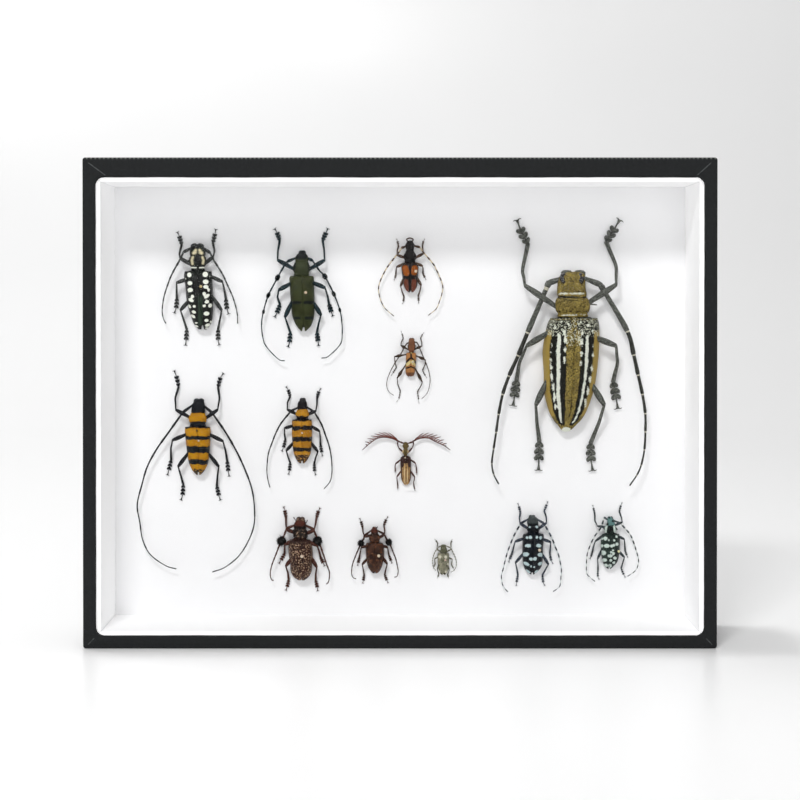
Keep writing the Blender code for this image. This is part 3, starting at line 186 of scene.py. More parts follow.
BEETLES = [
    Beetle(
        "beetle_white_spotted", (-103.45, 184.42), 1.3,
        [(14.3, -1.9, 1.6, 5.8), (12.9, -3.6, 2.9, 7.0), (10.8, -4.2, 3.8, 7.4), (8.8, -4.2, 3.9, 7.1),
         (6.4, -4.6, 4.2, 7.6), (4.2, -4.0, 3.5, 7.0), (0.9, -3.7, 3.8, 5.6), (0.4, -6.9, 6.9, 5.4),
         (-2.3, -7.25, 7.3, 8.2), (-8.0, -6.5, 7.5, 9.2), (-15.4, -5.8, 7.8, 9.0),
         (-21.5, -4.0, 7.6, 8.2), (-26.3, -2.3, 6.7, 6.6), (-29.3, 0.3, 4.4, 3.9)],
        [[(-4.5, 4.4), (-9.3, 7.3), (-9.5, 9.6), (-8.4, 14.2), (-9.5, 18.2), (-10.6, 20.6)],
         [(4.0, 4.7), (7.9, 8.1), (8.4, 11.0), (7.6, 15.1), (8.6, 19.2), (9.1, 22.1)],
         [(-6.9, -4.0), (-11.0, -5.4), (-11.0, -9.0), (-10.9, -13.2), (-11.1, -17.6), (-12.2, -21.0)],
         [(7.3, -2.5), (12.5, -4.9), (13.4, -8.8), (14.2, -13.6), (14.7, -18.2), (15.6, -21.5)],
         [(-5.6, -15.6), (-9.0, -19.5), (-7.5, -24.1), (-5.8, -29.3), (-6.1, -34.0), (-6.5, -37.6)],
         [(7.9, -13.4), (12.1, -19.5), (11.2, -24.1), (10.2, -29.3), (10.2, -34.2), (10.8, -37.4)]],
        [[(-2.6, 13.2), (-7.5, 10.3), (-9.1, 6.8), (-13.4, -1.0), (-15.8, -7.1), (-17.6, -13.2),
          (-18.4, -19.7), (-17.8, -23.7), (-16.5, -26.3)],
         [(1.9, 13.5), (6.2, 9.9), (7.9, 6.4), (12.5, -1.0), (14.9, -6.2), (17.1, -11.0),
          (18.8, -15.8), (20.0, -21.0), (20.3, -26.3)]],
        (0.78, 0.45, 0.8, 0.65, 0.36), pin=(1.4, -7.3)),
    Beetle(
        "beetle_green_tufted", (-50.32, 182.11), 1.3,
        [(13.2, -0.6, 1.1, 4.6), (12.1, -1.5, 2.0, 5.6), (10.5, -3.1, 3.1, 6.4), (8.0, -3.4, 3.4, 6.8),
         (6.4, -4.0, 3.7, 6.9), (4.7, -4.6, 4.4, 7.2), (0.7, -4.1, 3.8, 5.8), (0.3, -6.0, 5.9, 5.4),
         (-1.4, -6.4, 6.3, 7.8), (-7.0, -6.0, 6.4, 8.6), (-14.0, -5.6, 6.6, 8.5),
         (-20.4, -4.8, 6.3, 7.6), (-25.0, -2.8, 4.8, 5.6), (-27.8, -0.5, 2.2, 3.6)],
        [[(-4.75, 4.3), (-12.4, 8.6), (-12.2, 13.2), (-11.3, 18.5), (-12.6, 22.4), (-13.9, 24.6)],
         [(4.75, 4.3), (11.7, 8.5), (11.4, 14.0), (10.7, 18.6), (12.4, 22.4), (13.4, 24.7)],
         [(-6.2, -3.8), (-11.9, -6.9), (-12.4, -10.6), (-11.2, -14.3), (-12.7, -18.4), (-13.9, -20.7)],
         [(6.4, -3.3), (11.9, -5.7), (13.2, -9.8), (13.9, -13.9), (15.1, -18.0), (15.9, -20.2)],
         [(-5.7, -14.2), (-8.6, -20.7), (-7.4, -24.3), (-5.9, -28.6), (-6.3, -33.4), (-7.1, -36.0)],
         [(6.9, -14.7), (9.8, -19.7), (8.7, -23.8), (7.7, -28.6), (8.3, -33.0), (8.6, -35.4)]],
        [[(-2.9, 10.1), (-7.4, 7.8), (-9.6, 4.6), (-12.4, -0.5), (-17.1, -9.5), (-19.7, -18.0),
          (-20.6, -24.2), (-20.1, -30.4), (-18.3, -35.6), (-12.1, -42.2), (-8.8, -43.1)],
         [(2.4, 10.2), (5.5, 8.3), (9.0, 3.2), (11.9, 0.0), (16.4, -8.8), (19.5, -17.1),
          (20.5, -23.3), (20.7, -29.0), (19.7, -34.7), (13.5, -40.9), (10.1, -41.7)]],
        (0.88, 0.45, 0.85, 0.62, 0.32), pin=(2.0, -8.1),
        tufts=[((-11.9, 0.6), (-12.9, -1.6), 0.95), ((11.2, 1.2), (12.4, -0.9), 0.95),
                ((-16.6, -8.4), (-17.6, -10.6), 0.75), ((15.9, -7.8), (16.9, -9.9), 0.75),
                ((-19.4, -17.0), (-19.9, -19.0), 0.5), ((19.2, -16.1), (19.7, -18.1), 0.5)]),
    Beetle(
        "beetle_orange_shouldered", (5.02, 188.31), 1.1,
        [(12.2, -1.1, 1.2, 3.8), (10.7, -2.0, 2.2, 4.8), (9.8, -2.4, 2.5, 5.0), (7.6, -1.9, 2.0, 4.7),
         (6.4, -2.2, 2.3, 4.9), (4.5, -3.2, 3.3, 5.4), (1.2, -2.7, 2.8, 4.6), (0.8, -3.9, 3.9, 4.3),
         (-0.6, -4.4, 4.5, 6.0), (-4.2, -4.1, 4.4, 6.6), (-8.0, -3.6, 4.1, 6.3),
         (-10.9, -3.1, 3.8, 5.6), (-13.0, -2.0, 2.8, 4.4), (-14.1, -0.8, 1.7, 3.1)],
        [[(-3.1, 3.7), (-6.5, 4.9), (-6.4, 7.2), (-5.8, 9.4), (-6.2, 11.6), (-6.8, 13.2)],
         [(3.2, 3.7), (7.0, 5.7), (6.7, 7.6), (6.5, 9.6), (6.8, 11.4), (7.6, 13.2)],
         [(-4.2, -0.1), (-6.8, -1.2), (-7.0, -2.7), (-7.1, -4.3), (-7.4, -6.2), (-8.1, -8.0)],
         [(4.4, 0.2), (6.5, -0.7), (6.8, -2.4), (6.7, -4.4), (7.4, -6.0), (8.3, -7.8)],
         [(-3.7, -8.4), (-4.7, -11.1), (-3.9, -14.0), (-3.0, -16.3), (-3.2, -18.2), (-3.7, -20.1)],
         [(4.1, -7.5), (5.8, -10.6), (5.2, -13.4), (4.3, -16.0), (4.5, -18.0), (4.5, -19.8)]],
        [[(-2.0, 9.7), (-4.3, 8.5), (-6.1, 5.7), (-10.7, -0.1), (-13.1, -4.0), (-15.0, -8.1),
          (-16.0, -11.8), (-15.6, -15.8), (-14.4, -19.5), (-12.4, -22.7), (-8.2, -26.4)],
         [(2.1, 9.9), (5.1, 8.9), (7.2, 6.0), (11.8, 0.6), (13.9, -3.2), (15.8, -7.5),
          (16.9, -11.2), (16.4, -15.2), (15.2, -18.9), (13.5, -22.7), (9.5, -26.0)]],
        (0.56, 0.3, 0.36, 0.5, 0.28), pin=(3.1, -3.4),
        spines=[[(-0.9, 11.6), (-1.6, 12.9), (0.0, 13.6), (1.7, 12.9), (1.0, 11.6)]]),
    Beetle(
        "beetle_slender_banded", (5.64, 143.02), 1.0,
        [(7.5, -0.3, 0.9, 2.6), (6.6, -1.0, 1.7, 3.4), (5.4, -1.35, 2.0, 3.8), (4.6, -1.4, 2.1, 3.8),
         (3.6, -1.75, 2.45, 4.2), (1.8, -1.5, 2.0, 4.0), (0.5, -1.0, 1.5, 3.3), (0.1, -2.2, 2.3, 3.2),
         (-1.1, -2.6, 2.7, 4.3), (-4.8, -2.7, 2.6, 4.7), (-8.0, -2.9, 2.2, 4.5),
         (-10.4, -2.7, 1.9, 3.8), (-11.6, -2.1, 1.3, 2.8), (-12.1, -1.3, -0.1, 2.1)],
        [[(-1.9, 2.0), (-5.2, 3.9), (-5.0, 5.4), (-4.0, 7.4), (-4.4, 9.2), (-5.1, 11.2)],
         [(2.2, 2.0), (5.6, 3.6), (5.5, 5.4), (4.9, 7.7), (5.7, 9.3), (6.6, 10.5)],
         [(-2.7, -0.8), (-8.5, -1.9), (-8.2, -4.9), (-7.5, -7.4), (-9.0, -9.8), (-10.1, -11.6)],
         [(2.8, -1.5), (7.4, -3.6), (7.2, -6.0), (5.9, -8.9), (7.1, -11.2), (8.1, -12.9)],
         [(-3.1, -6.7), (-7.1, -12.9), (-6.8, -16.0), (-5.5, -19.4), (-6.1, -23.0), (-7.4, -25.2)],
         [(1.9, -7.5), (5.8, -15.0), (5.0, -17.0), (3.3, -19.9), (3.8, -23.2), (4.1, -25.9)]],
        [[(-0.9, 5.7), (-2.3, 4.7), (-3.6, 2.6), (-5.1, -0.3), (-7.0, -3.2), (-9.0, -6.5),
          (-10.9, -10.2), (-12.3, -14.3), (-12.3, -17.8), (-11.0, -20.2), (-8.9, -21.7)],
         [(1.5, 5.9), (3.1, 5.3), (4.3, 3.0), (5.9, -1.1), (7.8, -5.4), (9.2, -9.7),
          (9.8, -14.0), (9.2, -18.1), (8.0, -21.0), (5.5, -23.5)]],
        (0.4, 0.22, 0.24, 0.28, 0.2), pin=(0.9, -4.6), bead=0.5),
    Beetle(
        "beetle_giant_striped", (89.72, 160.70), 1.8,
        [(23.8, -3.9, 2.9, 6.8), (22.6, -6.8, 4.8, 8.6), (20.6, -8.6, 5.2, 9.6), (16.0, -9.2, 5.4, 10.0),
         (12.6, -9.3, 6.0, 9.8), (6.8, -10.3, 7.7, 11.4), (0.9, -9.2, 6.7, 9.0), (0.3, -12.6, 11.4, 9.0),
         (-3.9, -14.5, 12.4, 13.2), (-16.0, -16.6, 12.3, 14.6), (-28.3, -16.1, 11.1, 14.0),
         (-37.6, -15.9, 9.4, 12.8), (-47.0, -13.6, 6.1, 10.6), (-52.4, -10.8, 2.8, 8.0),
         (-56.6, -7.0, -2.2, 5.4)],
        [[(-10.2, 6.4), (-25.7, 16.9), (-26.9, 25.0), (-24.2, 38.4), (-27.6, 44.6), (-29.8, 50.6)],
         [(7.4, 8.4), (21.1, 17.4), (20.9, 27.0), (15.9, 39.3), (19.3, 44.6), (22.9, 50.6)],
         [(-15.9, -8.6), (-24.8, -14.0), (-28.6, -23.0), (-30.0, -31.8), (-30.7, -37.5), (-31.8, -44.7)],
         [(12.2, -10.5), (21.1, -14.0), (21.7, -23.0), (19.5, -32.5), (20.8, -39.0), (22.0, -46.3)],
         [(-15.9, -35.3), (-20.1, -44.4), (-19.5, -53.6), (-18.3, -63.0), (-18.5, -71.0), (-18.7, -77.9)],
         [(10.3, -36.7), (15.0, -44.4), (12.2, -53.6), (8.0, -64.0), (8.1, -71.0), (9.1, -78.1)]],
        [[(-4.2, 21.5), (-14.0, 18.1), (-14.4, 16.2), (-24.2, -6.9), (-29.0, -18.7), (-33.7, -29.2),
          (-37.0, -38.6), (-39.1, -48.9), (-40.4, -58.2), (-41.7, -66.7), (-42.6, -74.2), (-41.7, -79.8),
          (-39.1, -84.9)],
         [(3.4, 22.0), (13.6, 17.1), (14.4, 14.8), (26.7, -6.3), (30.0, -18.4), (32.3, -28.7),
          (34.5, -38.6), (36.0, -48.4), (36.1, -57.8), (35.6, -67.1), (34.0, -75.1), (31.8, -80.2), (28.1, -85.7)]],
        (1.3, 0.85, 1.7, 1.25, 0.72), pin=(-2.2, -18.0), bead=0.0,
        spines=[[(-9.4, 6.7), (-12.2, 6.4)], [(6.8, 7.5), (11.1, 7.0)]]),
    Beetle(
        "beetle_banded_large", (-103.86, 104.95), 1.3,
        [(14.4, -0.4, 2.7, 4.6), (13.2, -1.8, 3.4, 5.9), (11.0, -2.8, 3.8, 6.7), (7.8, -3.2, 4.0, 6.5),
         (6.6, -3.6, 4.1, 6.9), (4.8, -4.4, 4.7, 7.3), (0.6, -3.9, 4.4, 5.8), (0.2, -6.3, 6.5, 5.5),
         (-1.9, -6.5, 6.8, 7.8), (-7.0, -6.0, 6.6, 8.6), (-14.0, -5.2, 6.1, 8.3),
         (-18.8, -4.2, 5.3, 7.4), (-22.4, -2.4, 3.5, 5.4), (-24.4, -0.6, 1.6, 3.6)],
        [[(-4.7, 5.5), (-11.1, 9.0), (-11.3, 15.0), (-9.6, 20.8), (-10.6, 25.6), (-11.9, 29.1)],
         [(4.9, 5.1), (10.4, 9.0), (11.3, 15.0), (10.6, 20.5), (11.6, 25.0), (13.4, 27.7)],
         [(-6.5, -4.0), (-12.8, -6.7), (-13.6, -11.0), (-13.5, -16.8), (-14.7, -22.0), (-15.4, -24.6)],
         [(6.8, -4.0), (13.1, -7.2), (14.4, -12.0), (15.2, -17.2), (15.8, -22.4), (16.3, -25.3)],
         [(-5.4, -14.2), (-9.9, -20.2), (-8.6, -24.6), (-7.3, -29.4), (-7.6, -34.4), (-8.5, -37.5)],
         [(6.2, -14.2), (10.9, -20.2), (10.3, -25.0), (9.9, -30.2), (10.9, -34.8), (11.8, -37.5)]],
        [[(-1.6, 12.6), (-7.5, 7.6), (-14.6, -2.4), (-20.8, -11.1), (-25.7, -20.2), (-28.5, -29.5),
          (-30.9, -39.8), (-29.6, -48.7), (-28.1, -57.9), (-24.1, -65.5), (-16.3, -71.1), (-10.9, -72.7)],
         [(2.0, 12.6), (7.6, 7.3), (14.4, -2.6), (20.1, -12.5), (24.6, -22.3), (27.9, -31.8),
          (29.2, -41.3), (28.9, -50.6), (25.6, -59.3), (20.8, -66.5), (13.9, -72.0), (7.6, -74.3)]],
        (0.78, 0.44, 0.75, 0.6, 0.36), pin=(0.6, -6.9), bead=0.5),
    Beetle(
        "beetle_banded_small", (-50.21, 108.69), 1.2,
        [(11.1, 0.0, 1.0, 3.4), (10.2, -1.1, 1.8, 4.6), (8.6, -2.2, 2.5, 5.5), (5.8, -2.4, 2.7, 5.4),
         (4.6, -2.8, 3.1, 5.8), (3.1, -3.4, 3.6, 6.2), (0.7, -2.8, 3.2, 5.0), (0.2, -4.9, 4.9, 4.9),
         (-1.5, -5.2, 5.1, 6.8), (-6.5, -5.2, 5.2, 7.5), (-12.0, -5.0, 5.0, 7.3),
         (-17.0, -4.3, 4.4, 6.2), (-20.4, -2.9, 2.8, 4.5), (-22.2, -1.3, 1.2, 3.0)],
        [[(-3.1, 3.1), (-7.6, 5.4), (-7.4, 9.0), (-6.1, 12.0), (-7.0, 15.0), (-8.1, 17.1)],
         [(3.6, 3.1), (7.1, 4.6), (7.6, 8.0), (7.7, 11.2), (8.4, 14.0), (9.6, 16.2)],
         [(-5.2, -3.1), (-9.0, -4.3), (-9.0, -7.0), (-8.6, -10.2), (-9.4, -13.7), (-10.4, -16.1)],
         [(5.2, -3.5), (9.0, -5.8), (9.3, -9.0), (9.4, -12.8), (10.0, -16.2), (10.4, -18.6)],
         [(-5.2, -12.5), (-8.1, -15.8), (-7.2, -18.9), (-6.1, -22.0), (-6.5, -25.8), (-7.0, -28.0)],
         [(5.2, -12.5), (8.1, -16.3), (7.0, -19.3), (6.2, -22.4), (6.4, -26.0), (6.9, -28.3)]],
        [[(-1.9, 6.9), (-5.6, 4.6), (-10.6, -1.5), (-13.5, -6.9), (-15.6, -12.3), (-17.2, -16.9),
          (-17.9, -22.3), (-18.0, -27.3), (-17.4, -31.4), (-16.5, -34.6)],
         [(2.4, 7.3), (6.3, 4.0), (9.9, -2.1), (12.1, -8.1), (13.8, -13.1), (14.8, -18.1),
          (15.3, -23.1), (15.2, -28.1), (14.2, -31.9), (11.3, -35.3)]],
        (0.66, 0.37, 0.6, 0.5, 0.32), pin=(0.0, -6.7), bead=0.45),
    Beetle(
        "beetle_feather_horned", (3.07, 89.94), 1.0,
        [(7.3, -0.8, 0.2, 2.7), (6.6, -1.3, 0.8, 3.3), (5.4, -1.8, 1.5, 3.6), (4.2, -1.2, 0.8, 3.2),
         (3.4, -1.5, 1.0, 3.4), (2.5, -2.0, 1.4, 3.7), (0.6, -1.2, 0.5, 3.0), (0.2, -1.8, 1.5, 3.3),
         (-0.9, -2.8, 2.5, 4.3), (-4.5, -2.9, 2.6, 4.9), (-8.6, -2.7, 2.6, 4.7),
         (-11.6, -2.4, 2.4, 4.1), (-13.6, -1.5, 1.6, 3.1), (-14.8, -0.4, 0.5, 2.1)],
        [[(-1.5, 2.2), (-3.6, 4.3), (-4.2, 5.6), (-4.3, 6.9), (-4.1, 7.7), (-4.0, 8.4)],
         [(1.2, 2.2), (3.2, 4.4), (3.7, 5.6), (3.8, 6.8), (3.6, 7.6), (3.5, 8.4)],
         [(-2.8, -1.7), (-5.4, -3.8), (-5.6, -5.2), (-5.5, -6.6), (-5.5, -7.6), (-5.6, -8.4)],
         [(2.6, -1.8), (4.9, -3.5), (5.3, -5.4), (5.4, -7.2), (5.4, -8.4), (5.5, -9.4)],
         [(-2.7, -7.7), (-4.7, -10.5), (-4.5, -12.8), (-4.2, -15.0), (-4.3, -16.2), (-4.4, -17.2)],
         [(2.5, -7.7), (4.5, -10.6), (3.9, -13.4), (4.1, -15.4), (4.4, -16.6), (4.6, -17.5)]],
        [[(-1.0, 6.5), (-2.8, 7.4), (-4.3, 8.0), (-6.2, 9.0), (-8.4, 9.6), (-10.6, 9.9), (-12.8, 9.8),
          (-15.1, 9.1), (-17.4, 7.6), (-19.8, 5.7), (-22.3, 3.4)],
         [(0.7, 6.5), (3.2, 7.4), (4.6, 8.3), (6.8, 9.2), (9.2, 9.6), (11.7, 9.4), (14.2, 8.2),
          (16.9, 6.8), (19.7, 5.5), (22.6, 3.4)]],
        (0.34, 0.25, 0.25, 0.36, 0.26), pin=(-0.4, -0.7), bead=0.4,
        lift=SLIP_TOP),
    Beetle(
        "beetle_brown_rough", (-51.29, 45.05), 1.3,
        [(13.6, -0.7, 0.9, 4.4), (12.4, -1.8, 2.4, 5.7), (10.6, -2.8, 3.0, 6.9), (8.2, -3.1, 3.1, 7.1),
         (6.2, -3.8, 3.8, 7.6), (4.4, -3.4, 3.8, 7.3), (2.9, -3.2, 3.9, 6.4), (2.3, -5.2, 5.0, 5.4),
         (0.8, -5.9, 6.0, 7.6), (-5.0, -5.9, 6.6, 9.0), (-10.0, -5.1, 6.2, 8.9),
         (-14.0, -4.8, 6.0, 7.8), (-17.0, -3.2, 4.4, 5.7), (-18.6, -1.0, 2.3, 3.6)],
        [[(-3.3, 6.0), (-7.0, 7.4), (-7.2, 10.4), (-7.2, 13.6), (-7.7, 16.6), (-8.4, 19.1)],
         [(3.4, 5.5), (7.1, 6.8), (7.9, 10.0), (8.5, 13.6), (9.3, 16.6), (10.3, 18.5)],
         [(-5.8, 0.7), (-7.8, -0.4), (-7.9, -2.6), (-7.9, -4.8), (-9.3, -7.6), (-10.8, -10.1)],
         [(6.0, 0.5), (8.8, -0.9), (9.8, -3.8), (10.5, -6.8), (11.5, -9.0), (12.6, -11.3)],
         [(-5.2, -8.6), (-7.3, -11.5), (-6.3, -14.6), (-5.8, -18.4), (-6.5, -21.6), (-7.3, -23.9)],
         [(6.0, -7.5), (8.6, -12.0), (8.1, -15.2), (8.0, -18.8), (8.8, -22.0), (9.1, -24.2)]],
        [[(-2.0, 10.2), (-6.8, 8.0), (-8.3, 4.0), (-10.5, -0.4), (-12.3, -5.3), (-14.2, -10.1),
          (-15.2, -14.2), (-15.1, -17.1), (-14.3, -18.6), (-13.6, -18.7)],
         [(2.6, 10.2), (7.0, 7.4), (8.3, 4.0), (10.2, -0.4), (11.8, -4.9), (13.5, -10.1),
          (15.0, -14.2), (15.0, -17.4), (14.5, -19.7), (13.5, -20.6)]],
        (0.75, 0.42, 0.65, 0.6, 0.36), pin=(0.95, -6.4), bead=0.8,
        tufts=[((-9.2, 3.2), (-9.7, -0.2), 1.75), ((8.5, 3.2), (9.5, -0.2), 1.75)]),
    Beetle(
        "beetle_brown_smooth", (-13.17, 45.31), 1.2,
        [(8.4, -0.4, 0.4, 3.8), (7.4, -1.1, 1.3, 4.9), (6.2, -1.6, 1.8, 5.6), (5.0, -1.7, 1.9, 5.4),
         (4.2, -2.4, 2.5, 5.8), (3.2, -2.75, 3.0, 6.2), (0.8, -2.6, 2.8, 5.0), (0.3, -3.8, 4.0, 4.7),
         (-1.0, -4.4, 4.8, 6.3), (-5.0, -4.4, 5.1, 7.2), (-9.0, -4.0, 4.7, 7.1),
         (-12.2, -3.1, 3.8, 6.0), (-14.2, -1.9, 2.7, 4.5), (-15.3, -0.8, 1.5, 3.2)],
        [[(-2.6, 4.0), (-5.0, 3.4), (-5.8, 5.8), (-6.0, 8.2), (-6.7, 10.8), (-7.5, 12.9)],
         [(2.9, 3.2), (5.2, 4.5), (5.3, 6.8), (4.9, 9.2), (5.8, 11.8), (7.0, 13.7)],
         [(-4.4, -1.4), (-6.7, -2.1), (-7.2, -4.6), (-7.7, -7.2), (-8.2, -9.4), (-8.5, -11.4)],
         [(4.9, -1.4), (6.8, -2.1), (7.2, -4.4), (7.6, -6.4), (8.4, -8.4), (9.0, -10.2)],
         [(-4.0, -8.3), (-6.2, -10.8), (-5.7, -13.4), (-5.2, -16.2), (-5.6, -18.6), (-6.0, -20.5)],
         [(4.8, -7.9), (6.6, -10.6), (5.9, -13.3), (5.3, -16.2), (6.2, -18.4), (7.1, -20.3)]],
        [[(-1.2, 7.3), (-5.2, 3.9), (-5.7, 1.8), (-7.7, -1.9), (-9.2, -5.4), (-10.7, -9.2),
          (-11.5, -12.4), (-11.6, -15.7), (-10.8, -17.6), (-9.4, -18.2)],
         [(1.1, 7.1), (5.1, 4.8), (6.3, 2.1), (8.2, -0.9), (9.8, -4.9), (11.0, -7.9),
          (11.8, -11.6), (12.2, -14.3), (11.7, -16.8), (10.3, -17.4)]],
        (0.56, 0.32, 0.5, 0.45, 0.3), pin=(2.3, -6.4), bead=0.75,
        tufts=[((-6.5, 1.2), (-7.1, -1.1), 1.25), ((7.0, 1.7), (7.7, -0.5), 1.25)]),
    Beetle(
        "beetle_grey_speckled", (22.24, 40.13), 0.9,
        [(4.5, -0.6, 0.9, 2.4), (4.1, -1.1, 1.4, 3.0), (3.3, -1.35, 1.5, 3.6), (2.3, -1.4, 1.8, 3.5),
         (1.7, -1.55, 1.9, 3.7), (0.7, -1.5, 1.8, 3.3), (0.4, -2.6, 2.6, 3.1), (-0.6, -2.95, 2.9, 4.2),
         (-3.0, -3.0, 3.0, 4.6), (-6.4, -2.85, 2.8, 4.4), (-8.8, -2.3, 2.3, 3.5),
         (-10.2, -1.6, 1.6, 2.6), (-10.9, -0.9, 0.9, 1.9)],
        [[(-1.3, 0.9), (-3.3, 2.1), (-3.2, 3.6), (-2.9, 5.3), (-3.7, 6.5), (-4.4, 7.4)],
         [(1.5, 0.8), (3.8, 2.1), (3.9, 3.6), (3.8, 5.3), (4.2, 6.3), (4.5, 7.2)],
         [(-2.9, -1.9), (-4.4, -2.7), (-4.4, -4.0), (-4.2, -5.3), (-4.9, -6.6), (-4.9, -7.6)],
         [(2.9, -2.2), (4.6, -3.0), (4.4, -4.4), (4.2, -5.7), (4.9, -7.1), (5.6, -8.3)],
         [(-2.7, -6.6), (-3.1, -8.2), (-2.7, -9.4), (-2.3, -10.5), (-2.7, -11.6), (-3.0, -12.6)],
         [(2.6, -7.0), (3.0, -8.6), (2.6, -9.7), (2.2, -10.8), (2.5, -11.9), (2.7, -12.7)]],
        [[(-0.8, 4.3), (-2.6, 3.2), (-3.6, 1.8), (-4.6, 0.1), (-5.2, -1.7), (-5.6, -3.6),
          (-5.5, -5.7), (-5.0, -7.3), (-3.8, -8.8)],
         [(1.2, 4.2), (3.3, 3.1), (4.4, 1.7), (5.4, -0.3), (6.2, -2.2), (6.6, -4.1),
          (6.6, -6.0), (6.3, -7.5), (5.2, -8.9), (3.9, -9.6)]],
        (0.28, 0.2, 0.27, 0.25, 0.2), pin=(1.05, -3.4), bead=0.5),
    Beetle(
        "beetle_blue_spotted", (68.35, 50.33), 1.2,
        [(9.4, -1.8, 0.0, 3.6), (8.8, -2.2, 0.9, 4.5), (7.6, -2.8, 2.1, 5.5), (6.0, -3.2, 2.6, 6.0),
         (4.2, -2.9, 2.7, 5.7), (3.0, -3.4, 3.5, 6.2), (0.4, -3.0, 2.9, 5.0), (-0.1, -4.9, 5.1, 4.8),
         (-1.6, -5.5, 5.5, 6.8), (-7.0, -5.6, 5.1, 7.8), (-12.0, -5.6, 5.0, 7.6),
         (-16.5, -5.0, 4.4, 6.4), (-19.4, -3.4, 2.4, 4.5), (-20.9, -1.5, 0.4, 3.1)],
        [[(-3.3, 3.0), (-6.8, 5.3), (-7.1, 8.0), (-6.6, 10.8), (-7.3, 13.8), (-8.0, 15.6)],
         [(3.3, 3.0), (6.8, 5.6), (6.6, 8.6), (5.6, 11.8), (6.7, 14.4), (7.4, 16.5)],
         [(-5.5, -2.7), (-9.3, -4.1), (-10.1, -7.0), (-10.8, -10.0), (-12.0, -13.0), (-12.6, -14.7)],
         [(5.3, -3.0), (8.9, -4.3), (8.8, -7.2), (8.5, -10.2), (9.1, -13.3), (10.1, -15.5)],
         [(-5.6, -10.8), (-9.1, -15.0), (-8.4, -18.2), (-7.9, -21.3), (-8.5, -24.8), (-8.7, -26.8)],
         [(5.1, -11.4), (7.8, -15.8), (6.3, -18.4), (4.7, -21.4), (5.1, -24.8), (5.9, -26.7)]],
        [[(-2.4, 8.0), (-6.4, 5.3), (-9.8, -0.8), (-12.0, -6.2), (-13.4, -10.1), (-14.4, -13.9),
          (-15.4, -18.1), (-16.3, -21.6), (-15.9, -25.7), (-14.7, -28.0), (-13.0, -29.9)],
         [(1.7, 8.1), (5.4, 5.3), (9.3, -1.7), (11.4, -7.0), (13.0, -11.0), (13.8, -14.6),
          (14.4, -18.4), (14.2, -22.6), (13.7, -26.8), (12.1, -28.5), (10.2, -29.7)]],
        (0.6, 0.35, 0.48, 0.48, 0.3), pin=(3.25, -8.5), bead=0.75),
    Beetle(
        "beetle_teal_spotted", (108.06, 50.02), 1.2,
        [(9.0, -1.2, 0.2, 3.4), (8.2, -1.6, 1.1, 4.3), (7.2, -1.8, 1.9, 5.2), (5.8, -1.9, 2.2, 5.6),
         (4.4, -2.5, 2.3, 5.4), (3.0, -3.4, 3.1, 5.9), (0.7, -3.0, 2.5, 4.9), (0.2, -4.3, 4.3, 4.7),
         (-1.7, -5.0, 4.75, 6.4), (-6.5, -5.1, 4.65, 7.2), (-11.0, -4.8, 4.3, 6.9),
         (-14.4, -4.0, 3.3, 5.8), (-16.6, -2.8, 1.3, 4.1), (-17.7, -1.6, 0.2, 2.9)],
        [[(-3.2, 3.7), (-6.8, 4.2), (-8.1, 7.0), (-8.2, 10.6), (-8.8, 13.2), (-9.2, 14.9)],
         [(2.4, 4.7), (5.9, 6.2), (5.5, 8.6), (4.4, 11.7), (5.0, 14.2), (5.9, 16.3)],
         [(-4.5, -1.0), (-7.9, -3.6), (-8.7, -6.0), (-9.3, -8.8), (-9.9, -11.0), (-10.6, -12.7)],
         [(4.5, -1.3), (7.0, -2.6), (7.3, -5.4), (7.4, -8.3), (8.1, -10.3), (8.8, -11.9)],
         [(-5.0, -8.8), (-6.7, -12.7), (-6.5, -15.6), (-6.5, -18.4), (-6.6, -21.4), (-5.8, -23.3)],
         [(4.5, -9.1), (7.1, -11.9), (6.3, -14.4), (5.4, -17.6), (6.6, -20.4), (7.6, -22.2)]],
        [[(-1.2, 7.0), (-3.5, 8.7), (-3.9, 6.6), (-5.1, 3.3), (-8.5, -1.5), (-10.6, -6.0),
          (-11.9, -9.8), (-12.4, -14.6), (-12.2, -20.1), (-10.2, -22.4), (-8.1, -24.2)],
         [(1.6, 7.3), (5.0, 5.6), (9.8, 0.1), (11.8, -4.3), (12.9, -7.7), (13.8, -10.8),
          (14.3, -13.9), (13.5, -17.5), (11.5, -19.8), (8.7, -21.6)]],
        (0.5, 0.32, 0.4, 0.42, 0.28), pin=(4.2, -8.8), bead=0.65),
]


def shade(red, green, blue):
    """Linear colour of a tone given as it looks, 0 to 255."""
    return (*(((c / 255 + 0.055) / 1.055) ** 2.4 if c > 10 else c / 3294.6 for c in (red, green, blue)), 1.0)


def spot(u, v, across, along=None, lean=0.0):
    """Oval mark; each mark gives its depth inside the edge in mm, below 0 outside."""
    along = along or across
    cosine, sine = math.cos(math.radians(lean)), math.sin(math.radians(lean))

    def depth(x, y, share, width):
        a = ((x - u) * cosine + (y - v) * sine) / across
        b = ((y - v) * cosine - (x - u) * sine) / along
        return (1 - np.hypot(a, b)) * min(across, along)
    return depth


def band(low, high, left=-99.0, right=99.0):
    """Cross band between two heights, and between two sides."""
    return lambda x, y, share, width: np.minimum(np.minimum(y - low, high - y), np.minimum(x - left, right - x))


def bar(u1, v1, u2, v2, half):
    """Straight stroke with round ends."""
    def depth(x, y, share, width):
        t = np.clip(((x - u1) * (u2 - u1) + (y - v1) * (v2 - v1)) / ((u2 - u1) ** 2 + (v2 - v1) ** 2), 0, 1)
        return half - np.hypot(x - u1 - t * (u2 - u1), y - v1 - t * (v2 - v1))
    return depth


def stripe(inner, outer, low, high):
    """Lengthwise stripe between two shares of the wing case's width."""
    return lambda x, y, share, width: np.minimum(np.minimum(share - inner, outer - share) * width,
                                                 np.minimum(y - low, high - y))


